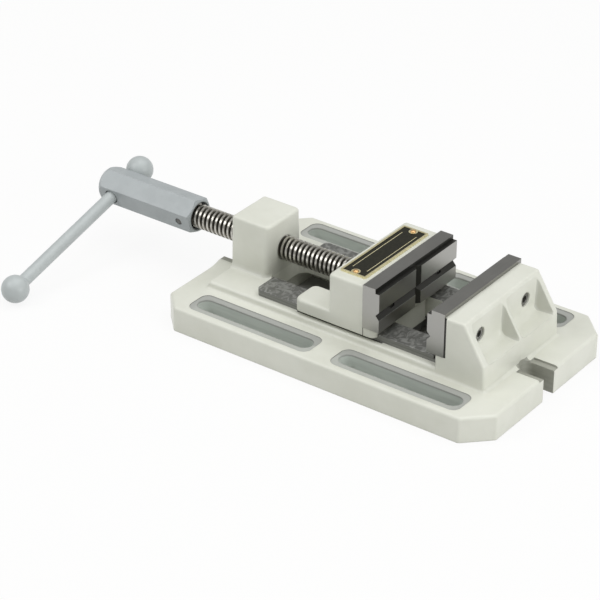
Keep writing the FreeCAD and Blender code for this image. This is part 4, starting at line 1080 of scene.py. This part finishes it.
def dome_rivet(origin, head, rise, shank, length):
    """A round-headed rivet: the head's height falls as the cosine of its share of the radius."""
    turn = np.linspace(0.0, math.pi / 2, 12)
    dome = [(rise * math.cos(value), head * math.sin(value)) for value in turn]
    return turned(dome + [(0.0, shank), (-length, shank), (-length, 0.0)], origin, UP)


low, high = corners("name_plate_rivets")
plate_top = corners("name_plate")[1][2]
rivet_x = (low[0] + high[0]) / 2
rivet_head = (high[0] - low[0]) / 2
rivet_y = high[1] - rivet_head
several(
    "plate_rivets",
    [
        dome_rivet(
            (rivet_x, side * rivet_y, plate_top),
            rivet_head, high[2] - plate_top, RIVET_SHANK, plate_top - low[2],
        )
        for side in PAIR
    ],
    "jaw", ["name_plate_rivets"], COPPER,
)


pin_low, pin_high = corners("hub_cross_pin")
pin_bore = (pin_high[0] - pin_low[0]) / 2
pin_radius = PIN_GROWTH * pin_bore
pin_half_length = HUB_GROWTH * float(
    ((pin_high[1] - pin_low[1]) / 2 - pin_bore * abs(HANDLE_AXIS[2])) / abs(HANDLE_AXIS[1])
) + 0.1 * MM
# the pin's end, with a hollow in it: millimetres from the end, share of the radius
pin_end = [(0.0, 0.0), (0.0, 0.60), (0.10, 0.68), (0.70, 0.70), (0.70, 0.96), (0.25, 1.0)]
pin = [(inwards * MM - pin_half_length, part * pin_radius) for inwards, part in pin_end]
pin += [(-along, radius) for along, radius in reversed(pin)]
several(
    "hub_pin_turned", [turned(pin, (middle("hub_cross_pin")[0], 0.0, SCREW_Z), HANDLE_AXIS)],
    "screw", ["hub_cross_pin"], PIN_STEEL,
)


# ---------------------------------------------------------------- stage, light and camera


FLOOR_HALF = 6.0
UNDER_INSET = (12.0 * MM, 8.0 * MM)  # of the floor's grey part from the base's ends and sides
UNDER_CORNER = 45.0 * MM  # cut off its corners
LAMP_TARGET = (0, 0, 40.0 * MM)


def floor_finish():
    """Pale floor: white to the camera and in reflections, with part of its own shading.

    So its shadows stay. Under the base it is plain matt, a darker grey than the open floor as painted
    shade, on which the openings show the shade that is really there.
    """
    material = bpy.data.materials.new("floor")
    material.use_nodes = True
    tree = material.node_tree
    tree.nodes.clear()

    def made(kind, operation=None, **inputs):
        node = tree.nodes.new("ShaderNode" + kind)
        if operation:
            node.operation = operation
        for socket, value in inputs.items():
            socket = node.inputs[int(socket[1:])]
            if hasattr(value, "is_output"):
                tree.links.new(value, socket)
            else:
                socket.default_value = value
        return node.outputs

    centre, half = (base_low + base_high) / 2, (base_high - base_low) / 2
    place = tree.nodes.new("ShaderNodeTexCoord").outputs["Object"]
    x, y, _ = made("SeparateXYZ", _0=place)
    from_centre = made("Math", "SUBTRACT", _0=x, _1=float(centre[0]))[0]
    beside = made("Math", "ABSOLUTE", _0=from_centre)[0]
    aside = made("Math", "ABSOLUTE", _0=y)[0]
    diagonal = made("Math", "ADD", _0=beside, _1=aside)[0]
    under = 1.0
    for distance, bound in (
        (beside, half[0] - UNDER_INSET[0]),
        (aside, half[1] - UNDER_INSET[1]),
        (diagonal, half[0] + half[1] - UNDER_CORNER),
    ):
        within = made("Math", "LESS_THAN", _0=distance, _1=float(bound))[0]
        under = made("Math", "MULTIPLY", _0=under, _1=within)[0]

    matt = made("BsdfDiffuse", _0=(0.65, 0.65, 0.64, 1.0))[0]
    # painted shade: the floor under the base is a darker grey than the open floor
    shaded = made("BsdfDiffuse", _0=(0.42, 0.42, 0.40, 1.0))[0]
    glow = made("Emission", _0=(1.0, 1.0, 1.0, 1.0), _1=1.05)[0]
    seen = made("MixShader", _0=0.84, _1=matt, _2=glow)[0]
    paths = tree.nodes.new("ShaderNodeLightPath").outputs
    direct = made("Math", "MAXIMUM", _0=paths["Is Camera Ray"], _1=paths["Is Transmission Ray"])[0]
    seen_ray = made("Math", "MAXIMUM", _0=direct, _1=paths["Is Glossy Ray"])[0]
    open_floor = made("MixShader", _0=seen_ray, _1=matt, _2=seen)[0]
    whole = made("MixShader", _0=under, _1=open_floor, _2=shaded)[0]
    made("OutputMaterial", _0=whole)
    return material


def stage_floor():
    """A square of floor at z = 0."""
    size = FLOOR_HALF
    square = [(-size, -size, 0), (size, -size, 0), (size, size, 0), (-size, size, 0)]
    mesh = bpy.data.meshes.new("floor")
    mesh.from_pydata(square, [], [(0, 1, 2, 3)])
    mesh.materials.append(floor_finish())
    floor = bpy.data.objects.new("floor", mesh)
    bpy.context.scene.collection.objects.link(floor)


def world_light(strength, seen):
    """A plain white sky: one strength for light, another for what the camera sees."""
    world = bpy.data.worlds.new("studio")
    bpy.context.scene.world = world
    world.use_nodes = True
    tree = world.node_tree
    tree.nodes.clear()
    output = tree.nodes.new("ShaderNodeOutputWorld")
    paths = tree.nodes.new("ShaderNodeLightPath")
    background = tree.nodes.new("ShaderNodeBackground")
    backdrop = tree.nodes.new("ShaderNodeBackground")
    background.inputs[1].default_value = strength
    background.inputs[0].default_value = (1.0, 1.0, 0.99, 1.0)
    backdrop.inputs[1].default_value = seen
    backdrop.inputs[0].default_value = (1.0, 1.0, 1.0, 1.0)
    choice = tree.nodes.new("ShaderNodeMixShader")
    tree.links.new(paths.outputs["Is Camera Ray"], choice.inputs[0])
    tree.links.new(background.outputs[0], choice.inputs[1])
    tree.links.new(backdrop.outputs[0], choice.inputs[2])
    tree.links.new(choice.outputs[0], output.inputs[0])


def soft_lamp(name, place, size, power):
    """A rectangular lamp that faces the vise."""
    lamp = bpy.data.lights.new(name, "AREA")
    lamp.shape = "RECTANGLE"
    lamp.size, lamp.size_y = size
    lamp.energy = power
    holder = bpy.data.objects.new(name, lamp)
    bpy.context.scene.collection.objects.link(holder)
    holder.location = place
    facing = Vector(LAMP_TARGET) - Vector(place)
    holder.rotation_euler = facing.to_track_quat("-Z", "Y").to_euler()


def aim_camera(azimuth, elevation, roll, target, distance, focal):
    """Camera on a sphere about the target; the focal length is in picture widths."""
    a, e, tilt = (math.radians(value) for value in (azimuth, elevation, roll))
    back = Vector((math.sin(a) * math.cos(e), -math.cos(a) * math.cos(e), math.sin(e)))
    right = Vector((math.cos(a), math.sin(a), 0.0))
    up = back.cross(right)
    turned_right = math.cos(tilt) * right + math.sin(tilt) * up
    turned_up = -math.sin(tilt) * right + math.cos(tilt) * up
    camera = bpy.data.cameras.new("camera")
    camera.sensor_width = 36.0
    camera.lens = focal * camera.sensor_width
    camera.clip_end = 20.0
    holder = bpy.data.objects.new("camera", camera)
    bpy.context.scene.collection.objects.link(holder)
    place = Vector(target) + distance * back
    axes = Matrix((turned_right, turned_up, back)).transposed().to_4x4()
    holder.matrix_world = Matrix.Translation(place) @ axes
    bpy.context.scene.camera = holder


stage_floor()
world_light(strength=0.43, seen=1.0)
soft_lamp("overhead", place=(0.2, 0.2, 2.0), size=(2.2, 2.2), power=20.4)
soft_lamp("right", place=(1.9, -0.2, 0.6), size=(1.0, 0.8), power=12.0)
soft_lamp("fill", place=(-1.1, -1.1, 1.5), size=(0.9, 0.9), power=10.0)
aim_camera(
    azimuth=36.161, elevation=30.480, roll=0.342,
    target=(-0.04906, -0.03633, 0.030), distance=1.8836, focal=2514.47 / 600,
)
bpy.context.scene.view_settings.view_transform = "Standard"
